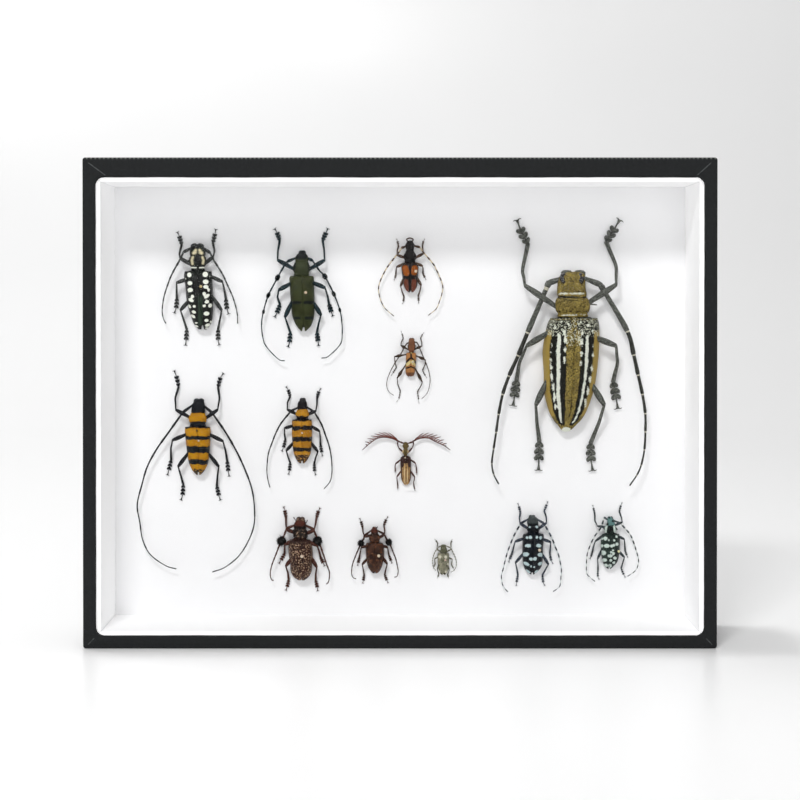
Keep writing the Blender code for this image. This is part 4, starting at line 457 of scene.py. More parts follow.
TONES = ("ground", "second", "dark", "pale", "third", "fleck", "limb", "dust", "ring_tone", "bead_tone")
USUAL_LOOKS = {
    # Shell: tones under its marks, then the marks, then its specks and surface
    "dark": (20, 20, 22), "pale": (225, 225, 215), "third": (90, 60, 40), "fleck": (200, 190, 160),
    "pale_marks": (), "dark_marks": (), "third_marks": (), "fleck_marks": (),
    "mottle": 0.0, "fleck_size": 1500, "cover": 0.5, "grain": 0.35,
    "ragged": 0.35, "wavy": 0.0, "rough": 0.45, "pits": 0.5,
    # Shell: stations where its parts begin, the run of the seam, and what its shape has of its own
    "neck": 3, "base": 7, "seam": None, "split": 0.3, "tail": NO_TAIL, "granules": 0, "jaws": 0.8,
    # Limbs: tones and shape
    "limb": (22, 22, 24), "dust": (86, 90, 94), "dusted": 0.25,
    "club": 1.15, "lobes": 1.35, "stout": 1.2,
    # Antennae: rings at the joints, from the first ringed joint on, and how they taper
    "ringed": None, "ring_tone": (215, 215, 205), "first_ring": 0, "late_joints": 0.0,
    "taper": (1.75, 0.8), "jointed": False, "brush": 1.25, "ball": False,
    "bead_tone": (205, 190, 160),
}


class Looks:
    """Finish of one specimen: tones, marks and the shape of its head and limbs."""

    def __init__(self, ground, second, **chosen):
        for name, value in {**USUAL_LOOKS, "ground": ground, "second": second, **chosen}.items():
            setattr(self, name, shade(*value) if name in TONES else value)
        self.marks = {trait: getattr(self, trait + "_marks") for trait in ("pale", "dark", "third", "fleck")}


LOOKS = {
    "beetle_white_spotted": Looks(
        (20, 20, 20), (30, 34, 30), pale=(243, 246, 234), third=(44, 56, 46),
        pale_marks=[spot(-4.5, -1.35, 1.09, 1.23), spot(-4.2, -5.6, 1.28, 1.04), spot(-4.05, -9.1, 1.47, 1.09),
                    spot(-2.9, -12.4, 0.95, 0.85), spot(-3.6, -14.3, 1.52, 0.90, -25), spot(-2.0, -17.5, 0.85, 0.71),
                    spot(-4.4, -17.5, 1.04, 0.66, -55), spot(-2.2, -20.4, 1.14, 0.77, -20),
                    spot(-2.6, -22.6, 1.33, 0.71, -35), spot(-1.0, -26.0, 0.85, 0.38),
                    spot(-0.9, -27.6, 1.04, 0.46, -20),
                    spot(-4.9, -11.2, 0.38), spot(-6.4, -3.4, 0.38), spot(-0.3, -10.4, 0.32),
                    spot(3.7, -1.1, 1.37), spot(3.9, -4.9, 1.52, 1.14), spot(4.0, -7.5, 1.42, 0.95),
                    spot(5.4, -9.1, 0.77), spot(3.1, -11.0, 0.95, 0.90), spot(4.5, -12.3, 1.72, 0.85, 35),
                    spot(4.5, -15.2, 1.28, 0.85, 15), spot(3.1, -17.3, 0.95, 0.66), spot(6.2, -17.1, 1.14, 0.95, 40),
                    spot(4.3, -21.2, 1.52, 1.09), spot(4.3, -24.7, 1.09, 0.77), spot(6.6, -25.4, 0.57),
                    spot(4.9, -27.1, 1.42, 0.77, 15), spot(4.5, -28.7, 0.85, 0.38), spot(6.0, -2.1, 0.28),
                    bar(-3.5, 2.4, -1.0, 2.3, 0.35), bar(0.8, 2.3, 3.5, 2.4, 0.35)],
        fleck_marks=[bar(-2.4, 9.7, -1.2, 11.3, 0.62), bar(2.0, 9.7, 0.8, 11.3, 0.62), bar(-1.6, 9.6, -1.0, 10.2, 0.4),
                     bar(1.3, 9.6, 0.7, 10.2, 0.4),
                     bar(-2.7, 7.7, -3.2, 6.2, 0.5), bar(-3.2, 6.2, -2.9, 4.3, 0.55),
                     bar(2.2, 7.7, 2.8, 6.2, 0.5), bar(2.8, 6.2, 2.5, 4.5, 0.55)],
        dark_marks=[band(8.5, 8.9)],
        fleck=(226, 216, 178), cover=-1.0, mottle=1.0,
        third_marks=[band(-27, -12, -0.1, 2.3)], ragged=0.1, rough=0.3, pits=0.8, limb=(34, 35, 34),
        dust=(112, 116, 114), dusted=0.45,
        ringed=0.3, ring_tone=(84, 90, 88), bead_tone=(196, 178, 120)),
    "beetle_green_tufted": Looks(
        (48, 52, 22), (58, 64, 32), dark=(12, 18, 18), third=(50, 56, 34), wavy=0.5,
        dark_marks=[band(-14.0, -12.4, -5.4, -0.5), band(-14.0, -12.4, 0.9, 6.6), band(-21.9, -20.4, -4.8, -0.9),
                    band(-21.9, -20.4, 1.7, 6.4), spot(-2.9, -5.5, 0.6), spot(3.1, -4.75, 0.6),
                    spot(-0.2, 12.0, 4.4, 3.3), bar(-3.6, 6.9, -3.9, 3.4, 0.5), bar(3.3, 6.9, 3.7, 3.4, 0.5)],
        third_marks=[band(0.5, 8.4)], rough=0.5, brush=1.5, limb=(16, 26, 30), dust=(52, 84, 92), dusted=0.4,
        bead_tone=(214, 190, 160), split=0.45),
    "beetle_orange_shouldered": Looks(
        (32, 26, 24), (44, 36, 32), dark=(18, 15, 14), pale=(146, 76, 20), third=(104, 52, 34),
        pale_marks=[bar(-2.4, -1.9, -1.7, -4.2, 1.6), bar(2.5, -1.9, 2.2, -3.8, 1.6)],
        third_marks=[bar(-2.0, -8.4, -1.6, -12.9, 1.1), bar(2.2, -8.4, 1.9, -12.9, 1.2)],
        dark_marks=[band(-7.5, -5.4), band(-20.0, 0.0, -0.45, 0.7), band(0.9, 20.0)], rough=0.34,
        limb=(58, 42, 34), dust=(134, 106, 84), dusted=0.4, ringed=0.55, ring_tone=(206, 190, 160), jaws=0.0,
        bead_tone=(216, 196, 170)),
    "beetle_slender_banded": Looks(
        (128, 82, 56), (108, 74, 48), dark=(30, 22, 18), pale=(206, 190, 132), third=(170, 118, 70),
        pale_marks=[bar(-2.2, -6.0, -0.3, -4.6, 0.7), bar(0.9, -4.4, 1.0, -5.3, 0.8), bar(1.0, -5.3, 2.2, -6.3, 0.5),
                    spot(0.15, 0.0, 0.35)],
        third_marks=[band(-10.0, 0.1)],
        dark_marks=[bar(0.05, 0.0, 0.05, -2.8, 0.45), bar(-0.3, -2.6, -2.5, -4.7, 0.5), bar(0.4, -2.6, 2.4, -4.8, 0.5),
                    bar(0.0, -7.0, -2.7, -7.9, 0.38), bar(0.0, -7.0, 2.4, -8.0, 0.38), bar(-1.8, 3.8, -1.6, 0.8, 0.45),
                    bar(2.4, 3.8, 2.0, 0.8, 0.45)],
        rough=0.4, limb=(52, 40, 32), dust=(112, 90, 70), club=1.75, bead_tone=(200, 190, 176)),
    "beetle_giant_striped": Looks(
        (164, 144, 74), (138, 120, 60), dark=(22, 21, 17), pale=(222, 226, 212), third=(158, 134, 66),
        fleck=(204, 206, 184), fleck_size=1450, cover=0.52, wavy=0.5, grain=0.85, late_joints=0.7,
        fleck_marks=[stripe(-0.2, 1.2, -9.0, 0.2), stripe(0.0, 0.3, -14.0, 0.0)],
        pale_marks=[stripe(0.45, 0.57, -53.5, -8.5), band(12.4, 13.2, -8.4, 5.2), bar(-7.0, 1.7, 5.0, 1.9, 0.22),
                    spot(-4.6, -57.6, 2.4, 2.0),
                    *(spot(*at) for at in (
                        (-5.6, -7.0, 0.7, 1.2), (-4.9, -11.0, 0.9, 1.7), (-5.3, -16.0, 0.8, 1.5),
                        (-5.4, -21.2, 0.7, 1.6), (3.6, -7.6, 0.6, 1.2), (3.4, -12.4, 0.8, 1.8),
                        (3.3, -18.0, 0.7, 1.5), (3.0, -23.0, 0.6, 1.4),
                        (-11.9, -13.5, 0.4, 0.7), (-12.3, -17.0, 0.5, 0.7), (-12.4, -21.5, 0.6, 1.0),
                        (-12.2, -25.5, 0.6, 1.4), (-11.9, -30.0, 0.6, 1.7), (-11.3, -35.0, 0.7, 1.9),
                        (-10.6, -40.0, 0.7, 2.0), (-9.9, -45.0, 0.6, 1.8), (9.3, -14.0, 0.4, 0.8),
                        (9.2, -19.0, 0.5, 1.2), (8.6, -25.5, 0.6, 1.8), (7.6, -31.5, 0.7, 2.0),
                        (6.6, -37.0, 0.6, 2.0), (5.4, -43.0, 0.6, 2.0), (-7.0, -1.6, 0.6), (-3.4, -2.8, 0.6),
                        (3.0, -2.0, 0.6), (6.8, -3.4, 0.7), (-10.2, -4.6, 0.8), (9.0, -6.2, 0.8),
                        (-8.4, -8.6, 0.8, 1.2), (-12.6, -7.4, 0.7), (-12.4, -3.4, 0.6), (5.0, -5.4, 0.6)))],
        dark_marks=[stripe(0.25, 0.78, -55.0, -5.0), stripe(0.1, 1.1, -6.0, -0.6), band(-0.4, 0.8), band(10.4, 11.4),
                    band(13.5, 13.9), band(9.4, 9.7), band(3.3, 3.6), bar(-1.0, 14.6, -1.4, 20.0, 0.25),
                    spot(-5.9, 18.6, 1.1, 1.3), spot(3.3, 18.9, 1.1, 1.3),
                    bar(-0.25, -2.0, -2.0, -47.0, 0.16), spot(-6.5, 20.0, 1.4, 1.2), spot(3.9, 20.4, 1.4, 1.2)],
        third_marks=[stripe(0.8, 1.2, -50.0, -7.0)], rough=0.5, mottle=0.9, ragged=0.75,
        limb=(58, 60, 56), dust=(140, 143, 134), dusted=0.6, ringed=0.07, ring_tone=(190, 186, 168), neck=4,
        tail=-54.4, taper=(2.5, 0.55), jointed=True, first_ring=1, lobes=1.3, stout=1.12,
        seam=[(0.5, -0.6), (-10.0, -0.2), (-28.0, -0.5), (-47.0, -2.0), (-54.0, -4.0), (-60.0, -4.4)], jaws=1.0),
    "beetle_banded_large": Looks(
        (194, 138, 12), (172, 116, 10), dark=(14, 18, 23), third=(62, 52, 38), fleck=(190, 134, 34), fleck_size=1100,
        cover=0.54, mottle=0.9, fleck_marks=[band(-30.0, -20.6)], wavy=1.0,
        dark_marks=[band(-6.5, -4.5), band(-13.3, -9.7), band(-19.1, -16.6), band(-0.5, 2.9), band(7.3, 20.0),
                    bar(-0.3, -0.3, -0.3, -2.6, 0.3), band(-22.4, -21.6, -4.0, 4.0)],
        third_marks=[band(-30.0, -21.6)], rough=0.48, grain=0.2, limb=(12, 13, 16), dust=(70, 76, 84),
        bead_tone=(214, 200, 180), pits=0.6),
    "beetle_banded_small": Looks(
        (194, 138, 34), (168, 114, 24), dark=(22, 17, 18), third=(52, 36, 28), fleck=(190, 140, 60), fleck_size=1200,
        cover=0.54, mottle=0.9, fleck_marks=[band(-30.0, -17.2)], wavy=1.0,
        dark_marks=[band(-5.2, -3.1), band(-11.15, -8.65), band(-16.15, -14.0), band(-0.5, 2.0), band(5.4, 20.0)],
        third_marks=[band(-30.0, -18.1)], rough=0.48, grain=0.2, limb=(14, 13, 15), dust=(76, 78, 84),
        bead_tone=(214, 200, 180), pits=0.6),
    "beetle_feather_horned": Looks(
        (176, 134, 80), (190, 154, 104), dark=(52, 32, 28), pale=(206, 182, 140), third=(92, 78, 46),
        pale_marks=[bar(-2.0, 1.2, -1.5, 3.0, 0.35), bar(1.4, 1.2, 1.0, 3.0, 0.35), spot(2.6, -6.0, 0.4),
                    bar(-0.75, -6.4, -0.55, -13.4, 0.22), bar(0.85, -6.4, 0.65, -13.0, 0.22)],
        dark_marks=[bar(-1.9, -0.6, -2.0, -4.6, 0.95), bar(1.7, -0.6, 1.8, -4.6, 0.95), band(-3.6, 0.4),
                    bar(-2.4, -4.0, -2.0, -12.8, 0.28), bar(2.4, -4.0, 2.0, -12.8, 0.28),
                    bar(-1.3, -6.0, -1.1, -13.2, 0.08), bar(1.3, -6.0, 1.0, -13.2, 0.08),
                    bar(0.1, -3.0, 0.0, -14.0, 0.14)],
        third_marks=[band(0.4, 9.0)], limb=(66, 30, 24), dust=(104, 60, 46), bead_tone=(190, 180, 160), jaws=0.5,
        ring_tone=(108, 40, 22)),
    "beetle_brown_rough": Looks(
        (56, 30, 22), (40, 21, 16), dark=(20, 12, 9), pale=(196, 172, 140), third=(72, 32, 20),
        third_marks=[spot(0.0, 10.6, 2.8, 1.5)], dark_marks=[band(3.0, 8.9)], rough=0.4, mottle=0.85, brush=1.6,
        ball=True,
        fleck=(184, 152, 124), fleck_size=1400, cover=0.55, split=0.05, granules=420,
        fleck_marks=[band(-40.0, 0.6), spot(-1.3, 5.4, 0.9, 2.4), spot(1.5, 5.4, 0.9, 2.4), band(12.0, 14.5)],
        limb=(62, 30, 21), dust=(118, 84, 70), bead_tone=(220, 202, 180), pits=1.0),
    "beetle_brown_smooth": Looks(
        (50, 26, 16), (62, 34, 22), dark=(18, 11, 8), third=(72, 32, 20), third_marks=[band(5.6, 9.0)],
        rough=0.36, mottle=0.75, fleck=(148, 96, 66), fleck_size=1400, cover=0.56, fleck_marks=[band(-40.0, 4.0)],
        grain=0.9, pits=1.0, brush=1.6, ball=True, split=0.08, granules=200,
        limb=(48, 24, 16), dust=(122, 88, 72), bead_tone=(220, 206, 180)),
    "beetle_grey_speckled": Looks(
        (158, 155, 132), (132, 130, 110), dark=(28, 28, 22), pale=(206, 202, 184), third=(100, 100, 80),
        pale_marks=[spot(-1.85, -1.7, 0.8), spot(1.25, -1.8, 0.8), spot(2.4, -5.5, 0.6), spot(-2.0, -9.3, 0.6),
                    spot(1.3, -9.4, 0.6)],
        dark_marks=[spot(-1.85, -1.7, 0.32), spot(1.25, -1.8, 0.36), spot(-2.4, -6.1, 0.3, 0.5),
                    spot(1.9, -6.2, 0.6, 0.35, 30), spot(-1.2, -10.3, 0.4), spot(0.7, -10.3, 0.4)],
        third_marks=[spot(-0.6, -3.5, 0.8), band(0.4, 5.0)], mottle=0.8, fleck=(46, 46, 36), fleck_size=1600,
        cover=0.57,
        fleck_marks=[band(-40.0, 6.0)], rough=0.6, limb=(78, 76, 62),
        dust=(150, 148, 130), dusted=0.5, ringed=0.4, ring_tone=(190, 188, 176), base=6, bead_tone=(214, 186, 172),
        jaws=0.4),
    "beetle_blue_spotted": Looks(
        (8, 12, 18), (16, 24, 32), pale=(188, 208, 210), third=(58, 64, 64),
        pale_marks=[spot(-3.2, -2.0, 0.8), spot(-1.45, -1.9, 0.8), spot(2.0, -1.8, 0.7), spot(3.7, -2.2, 0.8),
                    spot(-2.6, -6.2, 1.6, 0.9), spot(2.9, -6.2, 1.4, 0.9), spot(-3.9, -10.6, 1.8, 1.0),
                    spot(3.6, -10.8, 1.5, 1.0), spot(-1.2, -13.1, 1.0, 0.9), spot(0.9, -12.9, 1.0, 0.9),
                    spot(-3.7, -15.4, 1.7, 0.8, -25), spot(3.5, -15.5, 1.3, 0.8, 25), spot(-1.0, -17.0, 0.5),
                    spot(0.45, -17.1, 0.5), spot(-2.6, -19.4, 1.2, 0.5, -35), spot(1.8, -19.4, 1.2, 0.5, 35),
                    spot(-1.9, 3.4, 0.5), spot(1.8, 3.5, 0.7)],
        third_marks=[band(5.2, 12.0)], rough=0.34, wavy=0.3, lobes=1.25, limb=(20, 25, 32), dust=(112, 124, 142),
        dusted=0.5,
        ringed=0.45, ring_tone=(200, 206, 206), neck=4, bead_tone=(222, 204, 180)),
    "beetle_teal_spotted": Looks(
        (30, 42, 38), (48, 62, 56), dark=(14, 18, 18), pale=(202, 216, 208), third=(92, 126, 124),
        pale_marks=[spot(-4.5, -2.3, 0.7), spot(-2.7, -2.2, 1.0), spot(-0.9, -2.9, 0.5), spot(1.8, -3.0, 0.6),
                    spot(3.0, -1.2, 0.5), spot(-4.6, -6.0, 0.8), spot(-2.1, -6.0, 1.4, 1.0), spot(0.4, -6.0, 0.8),
                    spot(1.6, -5.7, 0.7), spot(3.3, -5.1, 1.0, 0.8), spot(-3.7, -9.5, 1.4, 1.2),
                    spot(0.2, -9.1, 0.6), spot(1.5, -10.0, 0.7), spot(1.2, -8.2, 0.5), spot(-0.3, -11.2, 1.1, 0.7),
                    spot(2.1, -12.2, 1.0, 0.8), spot(-3.4, -13.3, 1.5, 0.9), spot(0.0, -13.4, 0.7),
                    spot(1.65, -14.6, 0.7), spot(-2.6, -16.1, 1.2, 0.8), spot(-0.3, -16.3, 0.9),
                    bar(-2.3, 4.0, -2.6, 1.2, 0.6), bar(1.9, 4.0, 2.2, 1.4, 0.6)],
        dark_marks=[spot(-0.2, 2.6, 1.2, 1.6), spot(-1.8, 5.3, 0.7), spot(1.3, 6.7, 0.6),
                    bar(-1.4, 9.4, -0.5, 8.2, 0.3),
                    bar(1.6, 9.2, 0.8, 8.0, 0.3), bar(-0.6, 11.0, 0.6, 10.6, 0.3)],
        third_marks=[band(4.6, 12.0)], rough=0.4, wavy=0.3, lobes=1.25, limb=(24, 28, 30), dust=(116, 130, 136),
        dusted=0.5,
        ringed=0.45, ring_tone=(206, 210, 206), neck=4, bead_tone=(226, 224, 170)),
}

FEATHER_TEETH = [
    ((-5.3, 8.6), (-9.0, 12.2)), ((-7.3, 9.3), (-11.6, 12.5)), ((-9.5, 9.8), (-13.9, 12.3)),
    ((-11.7, 9.9), (-16.1, 11.6)), ((-13.9, 9.5), (-18.0, 10.5)), ((-16.2, 8.4), (-19.7, 9.1)),
    ((-18.6, 6.7), (-21.0, 7.5)), ((5.7, 8.8), (9.0, 12.0)), ((8.0, 9.4), (11.6, 12.1)),
    ((10.5, 9.5), (14.0, 11.7)), ((12.5, 9.1), (16.0, 11.1)), ((14.2, 8.4), (17.8, 10.1)),
    ((16.3, 7.3), (19.5, 8.6)), ((18.6, 6.0), (20.9, 6.7)),
    ((-4.3, 8.0), (-7.4, 11.8)), ((-6.2, 9.0), (-10.3, 12.3)), ((-8.4, 9.6), (-12.6, 12.4)),
    ((-10.6, 9.9), (-15.1, 12.0)), ((-12.8, 9.8), (-16.9, 11.1)), ((-15.1, 9.1), (-18.9, 9.8)),
    ((-17.4, 7.6), (-20.3, 8.3)), ((-19.8, 5.7), (-21.5, 6.6)),
    ((4.6, 8.3), (7.5, 11.5)), ((6.8, 9.2), (10.3, 12.2)), ((9.2, 9.6), (12.8, 11.8)),
    ((11.7, 9.4), (15.1, 11.4)), ((13.2, 8.8), (16.8, 10.8)), ((15.2, 7.9), (18.6, 9.4)),
    ((17.4, 6.6), (20.2, 7.7)), ((19.9, 5.3), (21.4, 5.7)),
]
SIDE_THORNS = {
    "beetle_white_spotted": [[(-4.0, 6.0), (-5.2, 5.9)], [(3.6, 6.0), (4.8, 5.9)]],
    "beetle_green_tufted": [[(-3.9, 4.8), (-5.2, 4.75)], [(3.7, 4.8), (5.0, 4.75)]],
    "beetle_banded_large": [[(-3.8, 4.8), (-5.1, 4.7)], [(4.1, 4.8), (5.1, 4.8)]],
    "beetle_banded_small": [[(-2.9, 3.1), (-3.8, 3.0)], [(3.1, 3.1), (4.0, 3.0)]],
    "beetle_blue_spotted": [[(-2.9, 3.0), (-3.9, 3.0)], [(3.0, 3.1), (4.1, 3.1)]],
    "beetle_teal_spotted": [[(-3.0, 3.2), (-4.1, 3.2)], [(2.7, 2.7), (3.7, 2.6)]],
}
PALPS = {
    "beetle_brown_rough": [[(-2.0, 11.9), (-3.3, 13.65)], [(3.1, 10.8), (3.8, 12.2)]],
    "beetle_brown_smooth": [[(1.2, 7.6), (1.6, 8.6)]],
}


class Value:
    """A socket of a finish, on which sums add Math nodes."""

    def __init__(self, finish, socket):
        self.finish = finish
        self.socket = socket

    def maths(self, operation, *values):
        return self.finish.node("ShaderNodeMath", dict(enumerate(values)), operation=operation)

    def __add__(self, other):
        return self.maths("ADD", self, other)

    __radd__ = __add__

    def __sub__(self, other):
        return self.maths("SUBTRACT", self, other)

    def __rsub__(self, other):
        return self.maths("SUBTRACT", other, self)

    def __mul__(self, other):
        return self.maths("MULTIPLY", self, other)

    __rmul__ = __mul__

    def sine(self):
        return self.maths("SINE", self)

    def size(self):
        return self.maths("ABSOLUTE", self)


class Finish:
    """Material of one piece, built from nodes."""

    def __init__(self, name, **fixed):
        self.material = bpy.data.materials.new(name)
        self.material.use_nodes = True
        self.tree = self.material.node_tree
        self.shader = self.tree.nodes["Principled BSDF"]
        for socket, value in fixed.items():
            self.set(socket.replace("_", " "), value)
        self.spot = self.node("ShaderNodeTexCoord", output="Object")

    def node(self, kind, links=None, output=0, **settings):
        """Add any node: its settings first, then the values or links of its sockets."""
        node = self.tree.nodes.new(kind)
        for name, value in settings.items():
            setattr(node, name, value)
        for socket, value in (links or {}).items():
            self.feed(node.inputs[socket], value)
        return Value(self, node.outputs[output])

    def feed(self, socket, value):
        if isinstance(value, Value):
            self.tree.links.new(value.socket, socket)
        else:
            socket.default_value = value

    def set(self, socket, value):
        self.feed(self.shader.inputs[socket], value)

    def noise(self, scale, detail=2.0, where=None):
        return self.node("ShaderNodeTexNoise", {"Vector": where or self.spot, "Scale": scale, "Detail": detail})

    def cells(self, scale):
        return self.node("ShaderNodeTexVoronoi", {"Vector": self.spot, "Scale": scale})

    def mix(self, share, first, second):
        return self.node("ShaderNodeMix", {0: share, 6: first, 7: second}, 2, data_type="RGBA")

    def rise(self, value, low, high, bottom=0.0, top=1.0):
        """Smooth step from bottom to top as the value goes from low to high."""
        return self.node("ShaderNodeMapRange", {"Value": value, "From Min": low, "From Max": high,
                                                "To Min": bottom, "To Max": top}, interpolation_type="SMOOTHSTEP")

    def trait(self, name):
        return self.node("ShaderNodeAttribute", output="Fac", attribute_name=name)

    def bump(self, height, depth_mm):
        self.set("Normal", self.node("ShaderNodeBump", {"Height": height, "Distance": depth_mm * MM, "Strength": 1.0}))


def shell_finish(beetle, looks):
    """Hard shell with its marks, fine down, pits and gloss."""
    finish = Finish(beetle.name + "_shell", Specular_IOR_Level=0.14)
    cloud = finish.noise(260, 3)
    grain = finish.noise(1500, 3)
    fine = finish.noise(5200, 2)
    edge = (grain - 0.5) * looks.ragged * 2 + (fine - 0.5) * looks.ragged
    if looks.wavy:
        edge = edge + (finish.noise(480, 1) - 0.5) * looks.wavy * 2
    tone = finish.mix(finish.rise(cloud, 0.35, 0.65), looks.ground, looks.second)
    tone = finish.mix(finish.rise(grain, 0.3, 0.7, 0.0, looks.grain), tone, looks.dark)
    third = finish.rise(finish.trait("third") + edge, -0.3, 0.3)
    tone = finish.mix(third, tone, looks.third)
    dark = finish.rise(finish.trait("dark") + edge, -0.18, 0.18)
    tone = finish.mix(dark, tone, looks.dark)
    if looks.mottle:
        flecks = finish.rise(finish.noise(looks.fleck_size, 2), looks.cover, looks.cover + 0.07) * looks.mottle
        tone = finish.mix(flecks * finish.rise(finish.trait("fleck") + edge, -0.6, 0.6), tone, looks.fleck)
    pale = finish.rise(finish.trait("pale") + edge, -0.14, 0.14)
    tone = finish.mix(pale * (finish.rise(fine, 0.2, 0.6, 0.75, 1.0)), tone, looks.pale)
    finish.set("Base Color", tone)
    finish.set("Roughness", finish.rise(pale * 0.6 + (grain - 0.5), -0.3, 0.8, looks.rough, looks.rough + 0.3))
    pits = finish.rise(finish.cells(1500), 0.0, 0.42)
    finish.bump(pits * looks.pits + fine * 0.35 + grain * 0.3, 0.09)
    return finish.material


def limb_finish(beetle, looks):
    """Horn of legs and antennae, dusted with pale down, pale at the joints where the species is."""
    finish = Finish(beetle.name + "_limb", Specular_IOR_Level=0.16)
    grain = finish.noise(1300, 3)
    fine = finish.noise(6000, 2)
    tone = finish.mix(finish.rise(grain, 0.35, 0.75, 0.0, looks.dusted), looks.limb, looks.dust)
    tone = finish.mix(finish.trait("dark"), tone, looks.dark)
    tone = finish.mix(finish.rise(finish.trait("pale") + (fine - 0.5) * 0.3, -0.15, 0.15), tone, looks.ring_tone)
    finish.set("Base Color", tone)
    finish.set("Roughness", finish.rise(fine, 0.3, 0.7, 0.36, 0.6))
    finish.bump(fine + grain * 0.5, 0.05)
    return finish.material


def eye_finish():
    finish = Finish("eye", Coat_Weight=0.4, Coat_Roughness=0.12)
    facets = finish.cells(9000)
    finish.set("Base Color", finish.mix(finish.rise(facets, 0.0, 0.6), shade(30, 26, 24), shade(14, 13, 14)))
    finish.set("Roughness", finish.rise(finish.noise(900), 0.3, 0.7, 0.16, 0.3))
    finish.bump(facets, 0.02)
    return finish.material


def steel_finish():
    finish = Finish("pin_steel", Metallic=1.0)
    drawn = finish.noise(2500, 2, finish.node("ShaderNodeMapping", {"Vector": finish.spot, "Scale": (1, 0.05, 1)}))
    finish.set("Base Color", finish.mix(drawn, shade(150, 150, 150), shade(196, 196, 194)))
    finish.set("Roughness", finish.rise(drawn, 0.3, 0.7, 0.2, 0.36))
    return finish.material


def bead_finish(looks, name):
    finish = Finish(name, Coat_Weight=0.5, Coat_Roughness=0.08)
    cloud = finish.noise(1200, 2)
    finish.set("Base Color", finish.mix(cloud * 0.35, looks.bead_tone, shade(150, 130, 96)))
    finish.set("Roughness", finish.rise(cloud, 0.3, 0.7, 0.22, 0.34))
    finish.bump(cloud, 0.02)
    return finish.material


def hair_finish(name, root, tip):
    finish = Finish(name, Specular_IOR_Level=0.1)
    finish.set("Base Color", finish.mix(finish.rise(finish.noise(2200, 2), 0.35, 0.7), root, tip))
    finish.set("Roughness", finish.rise(finish.noise(4000), 0.3, 0.7, 0.5, 0.75))
    return finish.material


def cloth_finish(name="bookcloth", fold_paling=0.0):
    """Black bookcloth: two crossed threads, slight slubs, dust on the raised ones, a painted highlight of light dots
    along the top front edge; its folds are paler.
    """
    finish = Finish(name, Specular_IOR_Level=0.12)
    x, y, z = (finish.node("ShaderNodeSeparateXYZ", {0: finish.spot}, k) for k in range(3))
    drift = (finish.noise(60, 2) - 0.5) * 0.0012
    pitch = 2 * math.pi / (THREAD_PITCH * MM)
    warp = ((x + y + z + drift) * pitch).sine()
    weft = ((x - z + drift) * pitch).sine()
    slub = finish.noise(700, 3)
    weave = warp * weft * 0.5 + 0.5
    tone = finish.mix(finish.rise(weave + slub * 0.5, 0.45, 1.1), shade(8, 9, 10), shade(50, 52, 53))
    tone = finish.mix(finish.rise(finish.noise(3600, 2), 0.66, 0.74, 0.0, 0.35), tone, shade(110, 112, 114))
    # Painted highlights: a row of light dots along the top front edge, where light catches the weave
    rim = finish.rise(z, (HEIGHT - 1.1) * MM, (HEIGHT - 0.5) * MM)
    rim = rim * finish.rise(y, (FRONT_Y + 0.7) * MM, (FRONT_Y + 1.6) * MM, 1.0, 0.0)
    rim_glints = finish.rise((x * (2 * math.pi / (RIM_DOT_PITCH * MM))).sine() + slub * 0.6, 0.3, 1.1)
    tone = finish.mix(rim * rim_glints * 0.8, tone, shade(128, 132, 126))
    # Paler patches by noise on the fold cloth
    if fold_paling:
        tone = finish.mix(finish.rise(slub, 0.35, 0.6, fold_paling * 0.4, fold_paling), tone, shade(108, 112, 112))
    finish.set("Base Color", tone)
    finish.set("Roughness", finish.rise(slub, 0.3, 0.7, 0.62, 0.85))
    finish.bump(weave + slub * 0.6, 0.08)
    return finish.material


def card_finish(name, tone, second, depth=0.03, lip=False):
    """Matt white card or foam with a soft tooth; on the lining card a painted glow, faint on its walls and stronger on
    its front lip, and painted shade along the lip's mitre lines.
    """
    finish = Finish(name)
    cloud = finish.noise(22, 4)
    tooth = finish.noise(1800, 3)
    base = finish.mix(finish.rise(cloud, 0.3, 0.75), tone, second)
    base = finish.mix(finish.rise(tooth, 0.6, 0.8, 0.0, 0.25), base, shade(228, 228, 228))
    finish.set("Base Color", base)
    finish.set("Roughness", finish.rise(tooth, 0.3, 0.7, 0.62, 0.8))
    finish.bump(tooth + finish.noise(90, 2) * 1.5, depth)
    if lip:
        x, y, z = (finish.node("ShaderNodeSeparateXYZ", {0: finish.spot}, k) for k in range(3))
        middle = (LINER_LOW + LINER_HIGH) / 2
        # fold is the distance from the lip's mitre lines; crease marks them for painted shade
        fold = ((x.size() - LIP_OUTER * MM) - ((z - middle * MM).size() - (LINER_HIGH - middle) * MM)).size()
        front = finish.rise(y, (LINER_FRONT_Y + 0.05) * MM, (LINER_FRONT_Y + 0.5) * MM, 1.0, 0.0)
        crease = finish.rise(fold, 0.00008, 0.00028, 1.0, 0.0)
        # Painted shade along the mitre line at each corner of the lip
        finish.set("Base Color", finish.mix(crease * 0.45, base, shade(150, 150, 154)))
        # Painted glow: the lining card emits light, more on its front lip and less along the mitre lines
        finish.set("Emission Color", finish.mix(front - crease * front * 0.7, WALL_PAINTED_GLOW, LIP_PAINTED_GLOW))
        finish.set("Emission Strength", 1.0)
    return finish.material


def pane_finish():
    """Clear pane: light goes straight through, with a faint gloss."""
    finish = Finish("pane")
    tree = finish.tree
    haze = finish.noise(14, 3)
    clear = finish.node("ShaderNodeBsdfTransparent", {"Color": (0.99, 0.99, 0.99, 1)})
    gloss = finish.node("ShaderNodeBsdfGlossy", {"Roughness": 0.05})
    share = finish.node("ShaderNodeFresnel", {"IOR": 1.3}) * finish.rise(haze, 0.3, 0.7, 0.1, 0.16)
    both = finish.node("ShaderNodeMixShader", {0: share, 1: clear, 2: gloss})
    tree.links.new(both.socket, tree.nodes["Material Output"].inputs["Surface"])
    return finish.material


